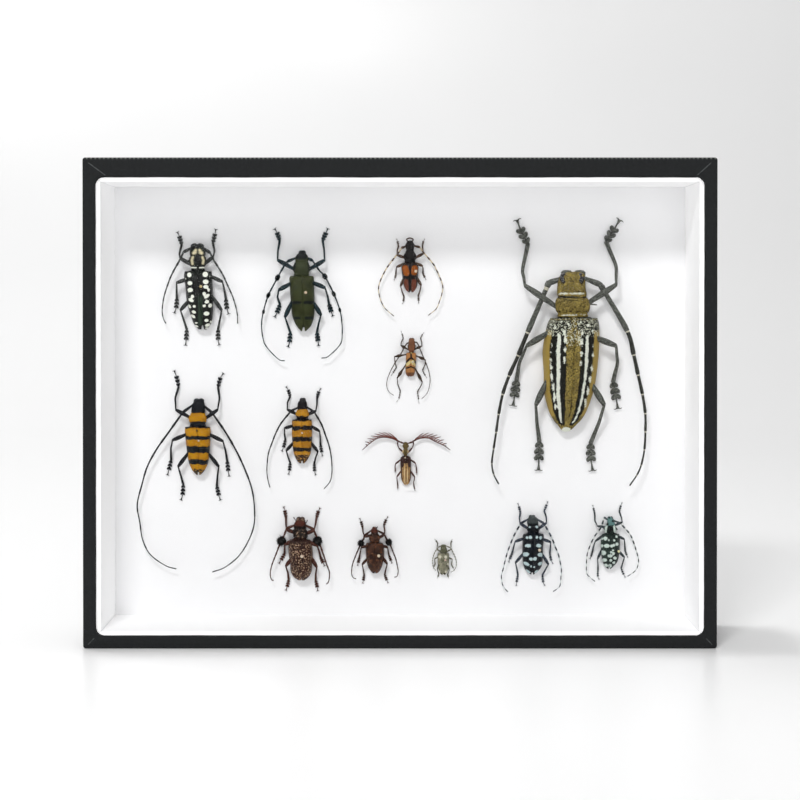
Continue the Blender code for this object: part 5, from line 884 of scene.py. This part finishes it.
def floor_finish():
    finish = Finish("floor_paper")
    cloud = finish.noise(3, 2)
    finish.set("Base Color", finish.mix(cloud, shade(250, 250, 250), shade(253, 253, 253)))
    finish.set("Roughness", finish.rise(cloud, 0.3, 0.7, 0.3, 0.36))
    return finish.material


def new_form():
    """Empty bmesh with the traits that the finishes read."""
    form = bmesh.new()
    for trait in TRAITS:
        form.verts.layers.float.new(trait)
    return form


def join(form, part):
    """Add a finished part to a form; parts are made on their own because that is much quicker."""
    part.to_mesh(BUFFER)
    part.free()
    form.from_mesh(BUFFER)


def skin(form, rings, sides, at, pale=None, dark=0.0):
    """Closed form on a sphere's rings: at(ring, turn) gives each point; ring -1 and rings are the poles."""
    part = new_form()
    light, deep = (part.verts.layers.float[trait] for trait in ("pale", "dark"))
    made = bmesh.ops.create_uvsphere(part, u_segments=sides, v_segments=rings + 1, radius=1)["verts"]
    for corner in made:
        ring = round(math.acos(max(-1.0, min(1.0, corner.co.z))) / math.pi * (rings + 1)) - 1
        corner.co = at(ring, math.atan2(corner.co.y, corner.co.x))
        corner[light] = pale(corner.co) if pale else UNMARKED
        corner[deep] = dark
    join(form, part)


def limb(form, line, sides=8, flat=1.0, tip=0.6, pale=None, dark=0.0):
    """Round-ended limb through rows of (u, v, height, radius); flat narrows it in height."""
    line = np.array(line, float)
    count = len(line)
    ahead = np.gradient(line[:, :3], axis=0)

    def at(ring, turn):
        row = min(max(ring, 0), count - 1)
        centre, radius = Vector(line[row, :3]), line[row, 3]
        forward = Vector(ahead[row]).normalized()
        side = forward.cross((0, 0, 1))
        side = side.normalized() if side.length > 0.001 else Vector((1, 0, 0))
        if ring < 0:
            return centre - forward * radius * tip
        if ring == count:
            return centre + forward * radius * tip
        return centre + (side * math.cos(turn) + side.cross(forward) * flat * math.sin(turn)) * radius
    skin(form, count, sides, at, pale, dark)


def trunk(form, rows, sides=20, power=2.3):
    """Rounded trunk through rows of (v, left, right, low, top)."""
    count = len(rows)

    def at(ring, turn):
        v, left, right, low, top = rows[min(max(ring, 0), count - 1)]
        if ring < 0 or ring == count:
            return (left + right) / 2, v + (0.2 if ring < 0 else -0.2), low + (top - low) * 0.5
        cosine, sine = math.cos(turn), math.sin(turn)
        size = (abs(cosine) ** power + abs(sine) ** power) ** (-1 / power)
        return ((left + right) / 2 + (right - left) / 2 * cosine * size, v,
                (low + top) / 2 + (top - low) / 2 * sine * size)
    skin(form, count, sides, at)


def wing_case(form, beetle, looks, side):
    """One wing case, domed above and closed below, with its inner edge on the suture."""
    rows = smooth(beetle.stations[looks.base:], 8)
    rows = rows[rows[:, 0] >= looks.tail]
    count = len(rows)
    length = rows[0][0] - rows[-1][0]
    tip_reach = 0.13 * length

    def at(ring, turn):
        v, left, right, top = rows[min(max(ring, 0), count - 1)]
        edge = right if side > 0 else left
        seam = beetle.edges(v)[2]
        low = beetle.low(top)
        near_tip = max(0.0, 1 - (v - rows[-1][0]) / tip_reach)
        width = abs(edge - seam)
        inner = 0.03 + width * looks.split * near_tip**2.2
        if ring < 0 or ring == count:
            return seam + side * (inner + width) / 2, v + (0.15 if ring < 0 else -0.15), (low + top) / 2
        q = (turn / math.pi + 1) / 2
        if q < 0.2:
            share, height = q / 0.2, low + 0.2 * (top - low) * (1 - q / 0.2)
        else:
            sweep = (q - 0.2) / 0.8 * math.pi / 2
            share = math.cos(sweep) ** 0.82
            height = low + (top - low) * math.sin(sweep) ** 0.8
        u = inner + (width - inner) * share
        groove = 0.16 * math.exp(-((u - inner) / 0.16) ** 2)
        shoulder = 0.05 * beetle.peak * math.exp(-((v - rows[0][0] + 0.09 * length) / (0.05 * length)) ** 2
                                                 - ((share - 0.72) / 0.18) ** 2)
        return seam + side * u, v, height - groove + shoulder
    skin(form, count, 40, at)


def shell(beetle, looks):
    """Head, pronotum, scutellum and the two wing cases."""
    form = new_form()

    def rows_of(first, last, gaps):
        rows = smooth(beetle.stations[first:last], gaps)
        return [(v, left, right, beetle.low(top), top) for v, left, right, top in rows]
    head = rows_of(0, looks.neck + 1, 7)
    trunk(form, head, 24, 2.5)
    collar = rows_of(looks.neck, looks.base, 9)
    last = len(collar) - 1
    ridged = []
    for k, (v, left, right, low, top) in enumerate(collar):
        nip = 0.05 * (math.exp(-((k - 2.5) / 1.3) ** 2) + math.exp(-((last - k - 2.5) / 1.3) ** 2))
        inset = (right - left) * nip
        ridged.append((v, left + inset, right - inset, low, top - (top - low) * nip * 1.5))
    trunk(form, ridged, 32, 2.2)
    for side in (-1, 1):
        wing_case(form, beetle, looks, side)
    v, left, right, top = beetle.stations[looks.base]
    seam = beetle.edges(v)[2]
    size = 0.1 * (right - left)
    crest = beetle.stations[looks.base + 1][3]
    shield = [(v + 0.6 * size - t * 2.2 * size, seam - size * (1 - t**1.5), seam + size * (1 - t**1.5),
               top * 0.6, top + (crest - top) * t + 0.12 + 0.1 * (1 - t)) for t in np.linspace(0, 0.96, 6)]
    trunk(form, shield, 12, 3)
    if looks.tail > NO_TAIL:
        tip = [row for row in rows_of(looks.base, len(beetle.stations), 6) if row[0] < looks.tail + 6]
        trunk(form, [(v - 1.2, left * 0.9 + right * 0.1, right * 0.9 + left * 0.1, low, top - 0.8)
                     for v, left, right, low, top in tip], 20)
    for route in SIDE_THORNS.get(beetle.name, ()):
        (u1, v1), (u2, v2) = route
        height = beetle.peak * 0.5
        line = [(u1 + (u2 - u1) * t, v1 + (v2 - v1) * t, height, 0.1 + 0.75 * (1 - t) ** 1.2)
                for t in np.linspace(0, 1, 6)]
        limb(form, line, 12, tip=0.5)
    if looks.granules:
        crest = beetle.peak * 0.45
        seats = [corner.co.copy() for corner in form.verts if corner.co.z > crest]
        for seat in dice.sample(seats, looks.granules):
            part = new_form()
            bmesh.ops.create_icosphere(part, subdivisions=1, radius=dice.uniform(*GRANULE_SIZES),
                                       matrix=Matrix.Translation(seat))
            join(form, part)
    bmesh.ops.recalc_face_normals(form, faces=form.faces)
    places = np.array([corner.co for corner in form.verts])
    share, width = beetle.share(places[:, 0], places[:, 1])
    for trait, marks in looks.marks.items():
        depth = np.full(len(places), UNMARKED)
        for mark in marks:
            depth = np.maximum(depth, mark(places[:, 0], places[:, 1], share, width))
        layer = form.verts.layers.float[trait]
        for corner, value in zip(form.verts, depth):
            corner[layer] = value
    return form


def eyes(beetle, looks):
    """Kidney-shaped eyes round the antenna sockets."""
    form = new_form()
    rows = beetle.rows[:looks.neck + 1]
    v, left, right, top = rows[2]
    width = right - left
    for side, edge in ((-1, left), (1, right)):
        for turn, size in ((-0.55, 1.0), (0.0, 0.9), (0.6, 0.75)):
            centre = Vector((edge - side * 0.17 * width * (1.0 + 0.25 * abs(turn)), v + turn * 0.16 * width,
                             top * 0.66))
            part = new_form()
            made = bmesh.ops.create_uvsphere(part, u_segments=14, v_segments=10, radius=0.19 * width * size)["verts"]
            bmesh.ops.scale(part, vec=(0.9, 0.8, 1.25), verts=made)
            bmesh.ops.translate(part, vec=centre, verts=made)
            join(form, part)
    return form


def leg(form, beetle, looks, route):
    """One leg: clubbed thigh, shin with spurs, three lobed foot joints, claw joint and two claws."""
    hip, knee, shin, ankle, foot, claw = (Vector(point) for point in route)
    femur_size, shin_size, foot_size = (size * looks.stout for size in (beetle.femur, beetle.shin, beetle.foot))
    half_width = max(right - left for _, left, right, _ in beetle.stations) / 2
    under = hip + (hip - knee).normalized() * half_width * HIP_INSET
    knee_height = beetle.peak * KNEE_HEIGHT
    foot_height = beetle.foot * 0.5 + FOOT_CLEAR + beetle.lift
    hip_height = beetle.peak * HIP_HEIGHT
    profile = [(0.0, 0.75), (0.2, 0.72), (0.45, 0.95), (0.7, looks.club), (0.88, 0.95), (1.0, 0.7)]
    thigh = [(*under.lerp(knee, t), hip_height + (knee_height - hip_height) * t, r * femur_size) for t, r in profile]
    limb(form, smooth(thigh, 3), 12)
    middle = shin if (shin - knee).length < (ankle - knee).length else knee.lerp(ankle, 0.5)
    half = (middle - knee).length / ((middle - knee).length + (ankle - middle).length)
    shank = [(*knee, knee_height, 0.75 * shin_size), (*knee.lerp(middle, 0.5), 0, 0.88 * shin_size),
             (*middle, 0, 0.98 * shin_size), (*middle.lerp(ankle, 0.6), 0, 1.15 * shin_size),
             (*ankle, foot_height, 1.25 * shin_size)]
    fall = [0.0, half * 0.5, half, half + (1 - half) * 0.6, 1.0]
    shank = [(u, v, knee_height + (foot_height + 0.1 - knee_height) * t, r) for (u, v, _, r), t in zip(shank, fall)]
    limb(form, smooth(shank, 4), 10)
    path = even(smooth([(*ankle, foot_height, 0), (*foot, foot_height, 0), (*claw, foot_height, 0)], 12), FOOT_STEPS)
    ahead = (foot - ankle).normalized()
    for side in (-1, 1):
        start = Vector((*ankle, foot_height))
        spur = Vector((ahead.x - side * ahead.y * 0.5, ahead.y + side * ahead.x * 0.5, 0)) * shin_size * 1.7
        limb(form, [(*start.lerp(start + spur, t), shin_size * 0.3 * (1 - 0.7 * t)) for t in (0, 0.5, 1)], 5)
    stalk = [(*path[k][:3], foot_size * r) for k, r in ((0, 0.3), (12, 0.24), (26, 0.24), (40, 0.22))]
    limb(form, smooth(stalk, 3), 8)
    for first, last, size in ((1, 15, 0.9), (14, 28, 1.05), (27, 41, 1.05)):
        span = path[last] - path[first]
        broad = beetle.foot * size * looks.lobes
        for side in (-1, 1):
            across = Vector((-span[1], span[0], 0)).normalized() * side
            lobe = []
            for t, width, apart in ((0.0, 0.26, 0.1), (0.28, 0.43, 0.36), (0.52, 0.48, 0.64), (0.72, 0.34, 0.84)):
                centre = Vector(path[first][:3]) + Vector(span[:3]) * t + across * broad * apart
                lobe.append((*centre, broad * width))
            limb(form, smooth(lobe, 2), 8, 0.6)
    onych = [(*path[k][:3], foot_size * r) for k, r in ((38, 0.2), (45, 0.2), (51, 0.28), (56, 0.42), (58, 0.36))]
    limb(form, smooth(onych, 2), 8)
    end = Vector(path[57][:3])
    ahead = (Vector(path[59][:3]) - Vector(path[52][:3])).normalized()
    for side in (-1, 1):
        across = Vector((-ahead.y, ahead.x, 0)) * side
        curl = [(*(end + ahead * foot_size * a + across * foot_size * b), foot_size * r)
                for a, b, r in ((0, 0.1, 0.2), (0.22, 0.5, 0.17), (0.25, 0.9, 0.12), (0.1, 1.15, 0.05))]
        limb(form, smooth(curl, 2), 6)


def feeler(form, beetle, looks, route):
    """One antenna: thick first joint, then joints that taper and swell at their ends."""
    brow = beetle.stations[2]
    base = brow[3] * BROW_HEIGHT
    fall = beetle.peak * LASH_HEIGHT - base
    (first_u, first_v), *rest = route
    root = (first_u + ((brow[1] + brow[2]) / 2 - first_u) * BROW_INSET, first_v)
    points = [root, *rest]
    rows = [(u, v, base + fall * min(1, k / (len(points) - 1) * LASH_FALL), 0) for k, (u, v) in enumerate(points)]
    start, stop = Vector(rows[0][:3]), Vector(rows[1][:3])
    scape = [(*start.lerp(stop, t), r * beetle.scape * looks.stout) for t, r in
             ((0.0, 1.15), (0.1, 0.95), (0.3, 0.75), (0.6, 0.98), (0.85, 1.12), (1.0, 0.8))]
    limb(form, smooth(scape, 3), 12)
    steps = 8
    line = smooth(rows[1:], steps)
    joints = len(rows) - 2
    if not looks.jointed:
        joints = FEELER_JOINTS
        line = even(line, joints * steps + 1)
    thick, thin = looks.taper
    for joint in range(joints):
        piece = line[joint * steps:(joint + 1) * steps + 1].copy()
        along = np.linspace(0, 1, steps + 1)
        piece[:, 3] = beetle.lash * thick * (thin / thick) ** ((joint + along) / joints) * (0.8 + 0.36 * along**2.5)
        piece[-1, 3] *= 0.8
        origin, span = Vector(piece[0][:3]), Vector(piece[-1][:3]) - Vector(piece[0][:3])

        def ring(place):
            return (looks.ringed - (place - origin).dot(span) / span.length_squared) * span.length
        limb(form, piece, 8, tip=0.4, pale=ring if looks.ringed and joint >= looks.first_ring else None,
             dark=looks.late_joints if joint > 1 else 0.0)


def jaw_line(beetle, side, looks):
    """Jaw from the cheek to the middle of the mouth."""
    v1, left, right, top = beetle.stations[1]
    v0 = beetle.stations[0][0]
    middle = (left + right) / 2
    reach = (right - left) / 2
    return [(middle + side * reach * a, v1 + (v0 - v1) * b, top * 0.45, reach * r * looks.jaws)
            for a, b, r in ((0.75, -0.3, 0.3), (0.85, 0.4, 0.27), (0.6, 0.95, 0.2), (0.2, 1.2, 0.1))]


def limbs(beetle, looks):
    """Legs, antennae, jaws and palps, and the underside that they grow from."""
    form = new_form()
    for route in beetle.legs:
        leg(form, beetle, looks, route)
    if looks.jaws:
        for side in (-1, 1):
            limb(form, smooth(jaw_line(beetle, side, looks), 3), 8)
    for route in PALPS.get(beetle.name, ()):
        line = [(*Vector(route[0]).lerp(Vector(route[1]), t), beetle.peak * 0.35, r)
                for t, r in ((0, 0.22), (0.4, 0.2), (0.5, 0.15), (0.6, 0.22), (1, 0.26))]
        limb(form, smooth(line, 2), 8)
    for route in beetle.spines:
        line = [(u, v, beetle.peak * SPIKE_HEIGHT, 0.4) for u, v in route]
        line = smooth(line, 4)
        line[:, 3] = np.linspace(0.55, 0.28, len(line)) if len(route) == 2 else 0.36
        limb(form, line, 10)
    belly = [(v, left + 0.12 * (right - left), right - 0.12 * (right - left), beetle.low(top) - 0.25,
              beetle.low(top) + 0.45 * (top - beetle.low(top)))
             for v, left, right, top in smooth(beetle.stations[looks.base - 1:], 5)[:-4]]
    trunk(form, belly, 16, 2.2)
    for route in beetle.feelers:
        feeler(form, beetle, looks, route)
    if beetle.name == "beetle_feather_horned":
        for k, ((u1, v1), (u2, v2)) in enumerate(FEATHER_TEETH):
            if k >= FEATHER_TEETH_FULL:
                u2, v2 = u1 + (u2 - u1) * FEATHER_TEETH_CUT, v1 + (v2 - v1) * FEATHER_TEETH_CUT
            bow = 0.12 * (u2 - u1)
            line = [(u1, v1, FEATHER_HEIGHT, 0.3),
                    ((u1 + u2) / 2 - bow, (v1 + v2) / 2 + abs(bow) * 0.5, FEATHER_HEIGHT + 0.2, 0.28),
                    (u2, v2, FEATHER_HEIGHT + 0.1, 0.13)]
            limb(form, smooth(line, 4), 8, pale=lambda place, end=abs(u2): (end - 1.2 - abs(place.x)) * 0.5)
    bmesh.ops.recalc_face_normals(form, faces=form.faces)
    return form


def tufts(beetle, looks):
    """Dense hair standing round the antenna joints."""
    form = new_form()
    height = beetle.peak * LASH_HEIGHT
    for start, stop, radius in beetle.tufts:
        axis = Vector((*stop, height)) - Vector((*start, height))
        middle = Vector((*start, height)) + axis / 2
        for _ in range(TUFT_HAIRS):
            t = dice.uniform(-0.5, 0.5)
            out = Vector((dice.gauss(0, 1), dice.gauss(0, 1), dice.gauss(0, 1))).normalized()
            out = (out - axis.normalized() * out.dot(axis.normalized()) * 0.5).normalized()
            length = radius * looks.brush * dice.uniform(0.7, 1.15) * (1 - 0.5 * abs(t))
            root = middle + axis * t * 0.9
            part = new_form()
            turn = Matrix.Translation(root) @ out.to_track_quat("Z", "Y").to_matrix().to_4x4()
            bmesh.ops.create_cone(part, segments=3, radius1=HAIR_ROOT, radius2=HAIR_TIP, depth=length,
                                  matrix=turn @ Matrix.Translation((0, 0, length / 2)))
            join(form, part)
        core = radius * (1.45 if looks.ball else 0.5)
        limb(form, [(*(middle + axis * t), core * r)
                    for t, r in ((-0.5, 0.6), (-0.2, 0.95), (0.2, 0.95), (0.5, 0.6))], 10)
    return form


def pin_top(beetle):
    """Place of the pin's top end, in world mm."""
    rise = beetle.peak + PIN_PROUD if beetle.bead else beetle.peak * BURIED_PIN_HEIGHT
    return beetle.place(*beetle.pin, rise) / MM


def finished(name, form, material, nodes=(), crease=None, flat=False):
    """Make a piece of the object: named, painted, riding on the box and standing for its CAD nodes."""
    mesh = bpy.data.meshes.new(name)
    form.to_mesh(mesh)
    form.free()
    piece = bpy.data.objects.new(name, mesh)
    bpy.context.scene.collection.objects.link(piece)
    mesh.materials.append(material)
    if not flat:
        mesh.shade_smooth()
    if crease:
        mesh.set_sharp_from_angle(angle=math.radians(crease))
    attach(piece, "root")
    if nodes:
        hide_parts(*nodes)
    return piece


def settled(form, beetle):
    """Carry a form from the beetle's own measures to its place in the box."""
    across, down = (form.verts.layers.float[name] for name in ("across", "down"))
    for corner in form.verts:
        corner[across], corner[down] = corner.co.x, corner.co.y
        corner.co = beetle.place(*corner.co)
    return form


def make_beetle(beetle, eye, steel):
    looks = LOOKS[beetle.name]
    node = (beetle.name,)
    finished(beetle.name + "_shell", settled(shell(beetle, looks), beetle), shell_finish(beetle, looks), node)
    finished(beetle.name + "_limbs", settled(limbs(beetle, looks), beetle), limb_finish(beetle, looks), node)
    finished(beetle.name + "_eyes", settled(eyes(beetle, looks), beetle), eye, node)
    if beetle.tufts:
        hair = hair_finish(beetle.name + "_hair", shade(8, 8, 8), shade(26, 25, 24))
        finished(beetle.name + "_tufts", settled(tufts(beetle, looks), beetle), hair, node)
    top = pin_top(beetle)
    form = new_form()
    shaft = [(top.x, y, top.z, PIN_RADIUS) for y in np.linspace(PANEL_Y + PIN_DEPTH, top.y, 8)]
    limb(form, shaft, 12, tip=0.1)
    bmesh.ops.scale(form, vec=(MM, MM, MM), verts=form.verts)
    finished(beetle.name + "_pin", form, steel, node)
    if beetle.bead:
        form = new_form()
        bmesh.ops.create_uvsphere(form, u_segments=24, v_segments=16, radius=beetle.bead * 1.02 * MM)
        bmesh.ops.translate(form, vec=top * MM, verts=form.verts)
        finished(beetle.name + "_bead", form, bead_finish(looks, beetle.name + "_bead"), node)


def rounded(half_x, low_z, high_z, radius, share):
    """Point of a round-cornered upright rectangle at a share of its way round, and which corner is near."""
    corners = [(half_x, low_z), (half_x, high_z), (-half_x, high_z), (-half_x, low_z)]
    side = int(share * 4) % 4
    t = share * 4 - int(share * 4)
    x1, z1 = corners[side]
    x2, z2 = corners[(side + 1) % 4]
    length = math.hypot(x2 - x1, z2 - z1)
    dx, dz = (x2 - x1) / length, (z2 - z1) / length
    round_part = 0.3
    if t < round_part / 2 or t > 1 - round_part / 2:
        before = t > 1 - round_part / 2
        spin = (t - 1) / round_part + 0.5 if before else t / round_part + 0.5
        cx, cz = (x2, z2) if before else (x1, z1)
        cx -= math.copysign(radius, cx)
        cz += radius if cz == low_z else -radius
        quarter = (side + 1 if before else side) % 4
        angle = math.radians((-45, 45, 135, 225)[quarter] + (spin - 0.5) * 90)
        return cx + radius * math.cos(angle), cz + radius * math.sin(angle)
    run = (t - round_part / 2) / (1 - round_part)
    run = radius + (length - 2 * radius) * run
    return x1 + dx * run, z1 + dz * run


def sweep(profile, inner, outer, around=640, ripple=0.0):
    """Frame with a closed profile of (share from window to outside, y) swept round the opening."""
    form = new_form()
    bmesh.ops.create_grid(form, x_segments=around, y_segments=len(profile), size=0.5)
    for corner in form.verts:
        share = min(max(corner.co.x + 0.5, 0.0), 1.0) % 1.0
        step = round((corner.co.y + 0.5) * len(profile)) % len(profile)
        blend, y = profile[step]
        turn = 2 * math.pi * share
        waves = math.sin(23 * turn) + 0.7 * math.sin(61 * turn + 1) + 0.5 * math.sin(137 * turn)
        blend += (1 - blend) * ripple * waves
        xi, zi = rounded(*inner, share)
        xo, zo = rounded(*outer, share)
        corner.co = Vector((xi + (xo - xi) * blend, y, zi + (zo - zi) * blend)) * MM
    bmesh.ops.remove_doubles(form, verts=form.verts, dist=0.000001)
    bmesh.ops.recalc_face_normals(form, faces=form.faces)
    return form


def lid():
    """Cloth-wrapped lid rail with soft edges."""
    profile = [(0.0, FRONT_Y + LID_FACE), (0.0, FRONT_Y + 0.75), (0.03, FRONT_Y + 0.28), (0.1, FRONT_Y + 0.05),
               (0.2, FRONT_Y), (0.5, FRONT_Y), (0.88, FRONT_Y), (0.95, FRONT_Y + 0.08), (0.985, FRONT_Y + 0.3),
               (1.0, FRONT_Y + 0.8), (1.0, -20.0), (1.0, SEAM_Y - GAP - 0.5), (0.975, SEAM_Y - GAP - 0.1),
               (0.94, SEAM_Y - GAP), (0.36, SEAM_Y - GAP), (0.33, SEAM_Y - GAP - 0.3), (0.33, FRONT_Y + LID_FACE)]
    return sweep(profile, (WINDOW_HALF_WIDTH, WINDOW_LOW, WINDOW_HIGH, WINDOW_CORNER), (HALF_WIDTH, 0.0, HEIGHT, 1.3),
                 ripple=0.005)


def lid_folds():
    """Ridges where the cloth is folded over the lid's corners, and the small lumps at its top ends."""
    form = new_form()
    for start, stop in (((-152.2, 237.5), (-143.6, 231.2)), ((151.9, 237.5), (145.0, 231.3)),
                        ((-152.6, 1.9), (-149.4, 5.2)), ((152.6, 1.9), (149.4, 5.2))):
        line = [(start[0] + (stop[0] - start[0]) * t, FRONT_Y + 0.16, start[1] + (stop[1] - start[1]) * t, r)
                for t, r in ((0, 0.12), (0.1, 0.3), (0.5, 0.34), (0.9, 0.28), (1, 0.12))]
        limb(form, smooth(line, 5), 10)
    for side in (-1, 1):
        line = [(side * x, FRONT_Y + 1.35, z, r)
                for x, z, r in ((152.4, 239.1, 0.6), (153.3, 239.0, 1.0), (153.9, 238.7, 1.1), (154.1, 238.0, 0.7))]
        limb(form, smooth(line, 5), 12)
    bmesh.ops.scale(form, vec=(MM, MM, MM), verts=form.verts)
    bmesh.ops.recalc_face_normals(form, faces=form.faces)
    return form


def pressed_panel(panel):
    """The pinning panel with its pin holes, its rim pressed against the lining."""
    form = bmesh.new()
    form.from_mesh(panel.data)
    bmesh.ops.remove_doubles(form, verts=form.verts, dist=0.000001)
    rim = 1.0
    half, low, high = LIP_OUTER - LINER_WALL, LINER_LOW + LINER_WALL, LINER_HIGH - LINER_WALL
    for corner in form.verts:
        x, z = corner.co.x / MM, corner.co.z / MM
        if abs(x) > half - rim:
            x = math.copysign(half - PRESSED, x)
        if z < low + rim:
            z = low + PRESSED
        if z > high - rim:
            z = high - PRESSED
        corner.co.x, corner.co.z = x * MM, z * MM
    return form


def tray():
    """Cloth-wrapped tray: a board with four walls and soft edges."""
    form = new_form()
    made = bmesh.ops.create_cube(form, size=1)["verts"]
    for corner in made:
        corner.co = Vector((corner.co.x * 2 * HALF_WIDTH, BACK_Y if corner.co.y > 0 else SEAM_Y,
                            (corner.co.z + 0.5) * HEIGHT))
    bmesh.ops.bevel(form, geom=list(form.edges), offset=1.1, segments=4, profile=0.5, affect="EDGES", material=-1)
    front = min(form.faces, key=lambda face: face.calc_center_median().y - face.calc_area() * 0.001)
    bmesh.ops.inset_individual(form, faces=[front], thickness=2.4)
    for corner in front.verts:
        corner.co.x = math.copysign(HALF_WIDTH - SIDE_WALL, corner.co.x)
        corner.co.z = FOOT_WALL if corner.co.z < HEIGHT / 2 else HEIGHT - TOP_WALL
    made = bmesh.ops.extrude_face_region(form, geom=[front])["geom"]
    bmesh.ops.delete(form, geom=[front], context="FACES_ONLY")
    for corner in (part for part in made if isinstance(part, bmesh.types.BMVert)):
        corner.co.y = BACK_Y - BACK_BOARD
    bmesh.ops.recalc_face_normals(form, faces=form.faces)
    bmesh.ops.scale(form, vec=(MM, MM, MM), verts=form.verts)
    return form


def lining():
    """White card wall with a soft front lip."""
    profile = [(0.0, PANEL_BACK_Y), (0.0, 0.0), (0.0, LINER_FRONT_Y + 0.35), (0.08, LINER_FRONT_Y + 0.1),
               (0.2, LINER_FRONT_Y), (0.8, LINER_FRONT_Y), (0.92, LINER_FRONT_Y + 0.1), (1.0, LINER_FRONT_Y + 0.35),
               (1.0, PANEL_BACK_Y)]
    wall = LINER_WALL
    inner = (LIP_OUTER - wall, LINER_LOW + wall, LINER_HIGH - wall, 0.5)
    return sweep(profile, inner, (LIP_OUTER, LINER_LOW, LINER_HIGH, 0.8), 400)


def make_box():
    cloth = cloth_finish()
    finished("lid_cloth", lid(), cloth, ("lid_frame",), crease=40)
    finished("tray_cloth", tray(), cloth, ("base_tray",), crease=40)
    finished("lid_folds", lid_folds(), cloth_finish("fold_cloth", 0.5), ("lid_frame",))
    white = card_finish("lining_card", shade(252, 252, 252), shade(248, 248, 249), lip=True)
    finished("lining_wall", lining(), white, ("liner",), crease=25)
    nodes = frame["nodes"]
    foam = card_finish("panel_foam", shade(251, 251, 252), shade(248, 248, 249), 0.05)
    finished("panel_sheet", pressed_panel(nodes["foam_panel"]), foam, ("foam_panel",), flat=True)
    slip = card_finish("slip_card", shade(250, 250, 250), shade(244, 244, 244))
    for name, material in (("paper_slip", slip), ("glass_pane", pane_finish())):
        nodes[name].data.materials.clear()
        nodes[name].data.materials.append(material)


def make_stage():
    """Pale floor that bends up into a pale backdrop."""
    form = bmesh.new()
    bmesh.ops.create_grid(form, x_segments=2, y_segments=48, size=0.5)
    bend = 0.8
    for corner in form.verts:
        run = (corner.co.y + 0.5) * 6.0 - 2.5
        x = corner.co.x * 7
        angle = min(max((run - 0.9) / bend, 0), math.pi / 2)
        over = max(0.0, run - 0.9 - bend * math.pi / 2)
        corner.co = (x, min(run, 0.9) + bend * math.sin(angle), bend * (1 - math.cos(angle)) + over)
    mesh = bpy.data.meshes.new("floor")
    form.to_mesh(mesh)
    form.free()
    floor = bpy.data.objects.new("floor", mesh)
    bpy.context.scene.collection.objects.link(floor)
    mesh.materials.append(floor_finish())
    mesh.shade_smooth()


LAMPS = {
    # name: place, target, size and power
    "key": ((-0.36, -1.22, 1.34), (0, 0, 0.12), (0.42, 0.26), 14.0),
    "front": ((0.15, -2.2, 0.55), (0, 0, 0.12), (1.2, 0.8), 7.0),
    "wash": ((-0.9, 0.5, 1.6), (-0.05, 1.7, 0.5), (1.0, 0.6), 9.5),
    "over": ((-0.15, 0.07, 1.9), (-0.1, 0.0, 0.0), (0.12, 0.12), 7.0),
}
ROOM_LIGHT = 0.345


def make_light():
    for name, (place, target, size, power) in LAMPS.items():
        light = bpy.data.lights.new(name, "AREA")
        light.shape = "RECTANGLE"
        light.size, light.size_y = size
        light.energy = power
        holder = bpy.data.objects.new(name, light)
        bpy.context.scene.collection.objects.link(holder)
        holder.location = place
        holder.rotation_euler = (Vector(target) - Vector(place)).to_track_quat("-Z", "Y").to_euler()
    world = bpy.data.worlds.new("studio")
    bpy.context.scene.world = world
    world.use_nodes = True
    backdrop = world.node_tree.nodes["Background"]
    backdrop.inputs["Color"].default_value = (1, 1, 1, 1)
    backdrop.inputs["Strength"].default_value = ROOM_LIGHT
    bpy.context.scene.view_settings.view_transform = "Standard"


def make_camera():
    lens = bpy.data.cameras.new("camera")
    holder = bpy.data.objects.new("camera", lens)
    bpy.context.scene.collection.objects.link(holder)
    pitch = 0.4
    lens.lens = SENSOR * FOCUS_PX / PHOTO_PX
    lens.sensor_width = SENSOR
    lens.shift_y = -(HORIZON_ABOVE_MIDDLE_PX - FOCUS_PX * math.tan(math.radians(pitch))) / PHOTO_PX
    holder.location = (0, (PANEL_Y - EYE_TO_PANEL) * MM, EYE_Z * MM)
    holder.rotation_euler = (math.radians(90 - pitch), 0, 0)
    bpy.context.scene.camera = holder


make_camera()
make_light()
make_stage()
make_box()
eye_material = eye_finish()
pin_material = steel_finish()
for specimen in BEETLES:
    make_beetle(specimen, eye_material, pin_material)
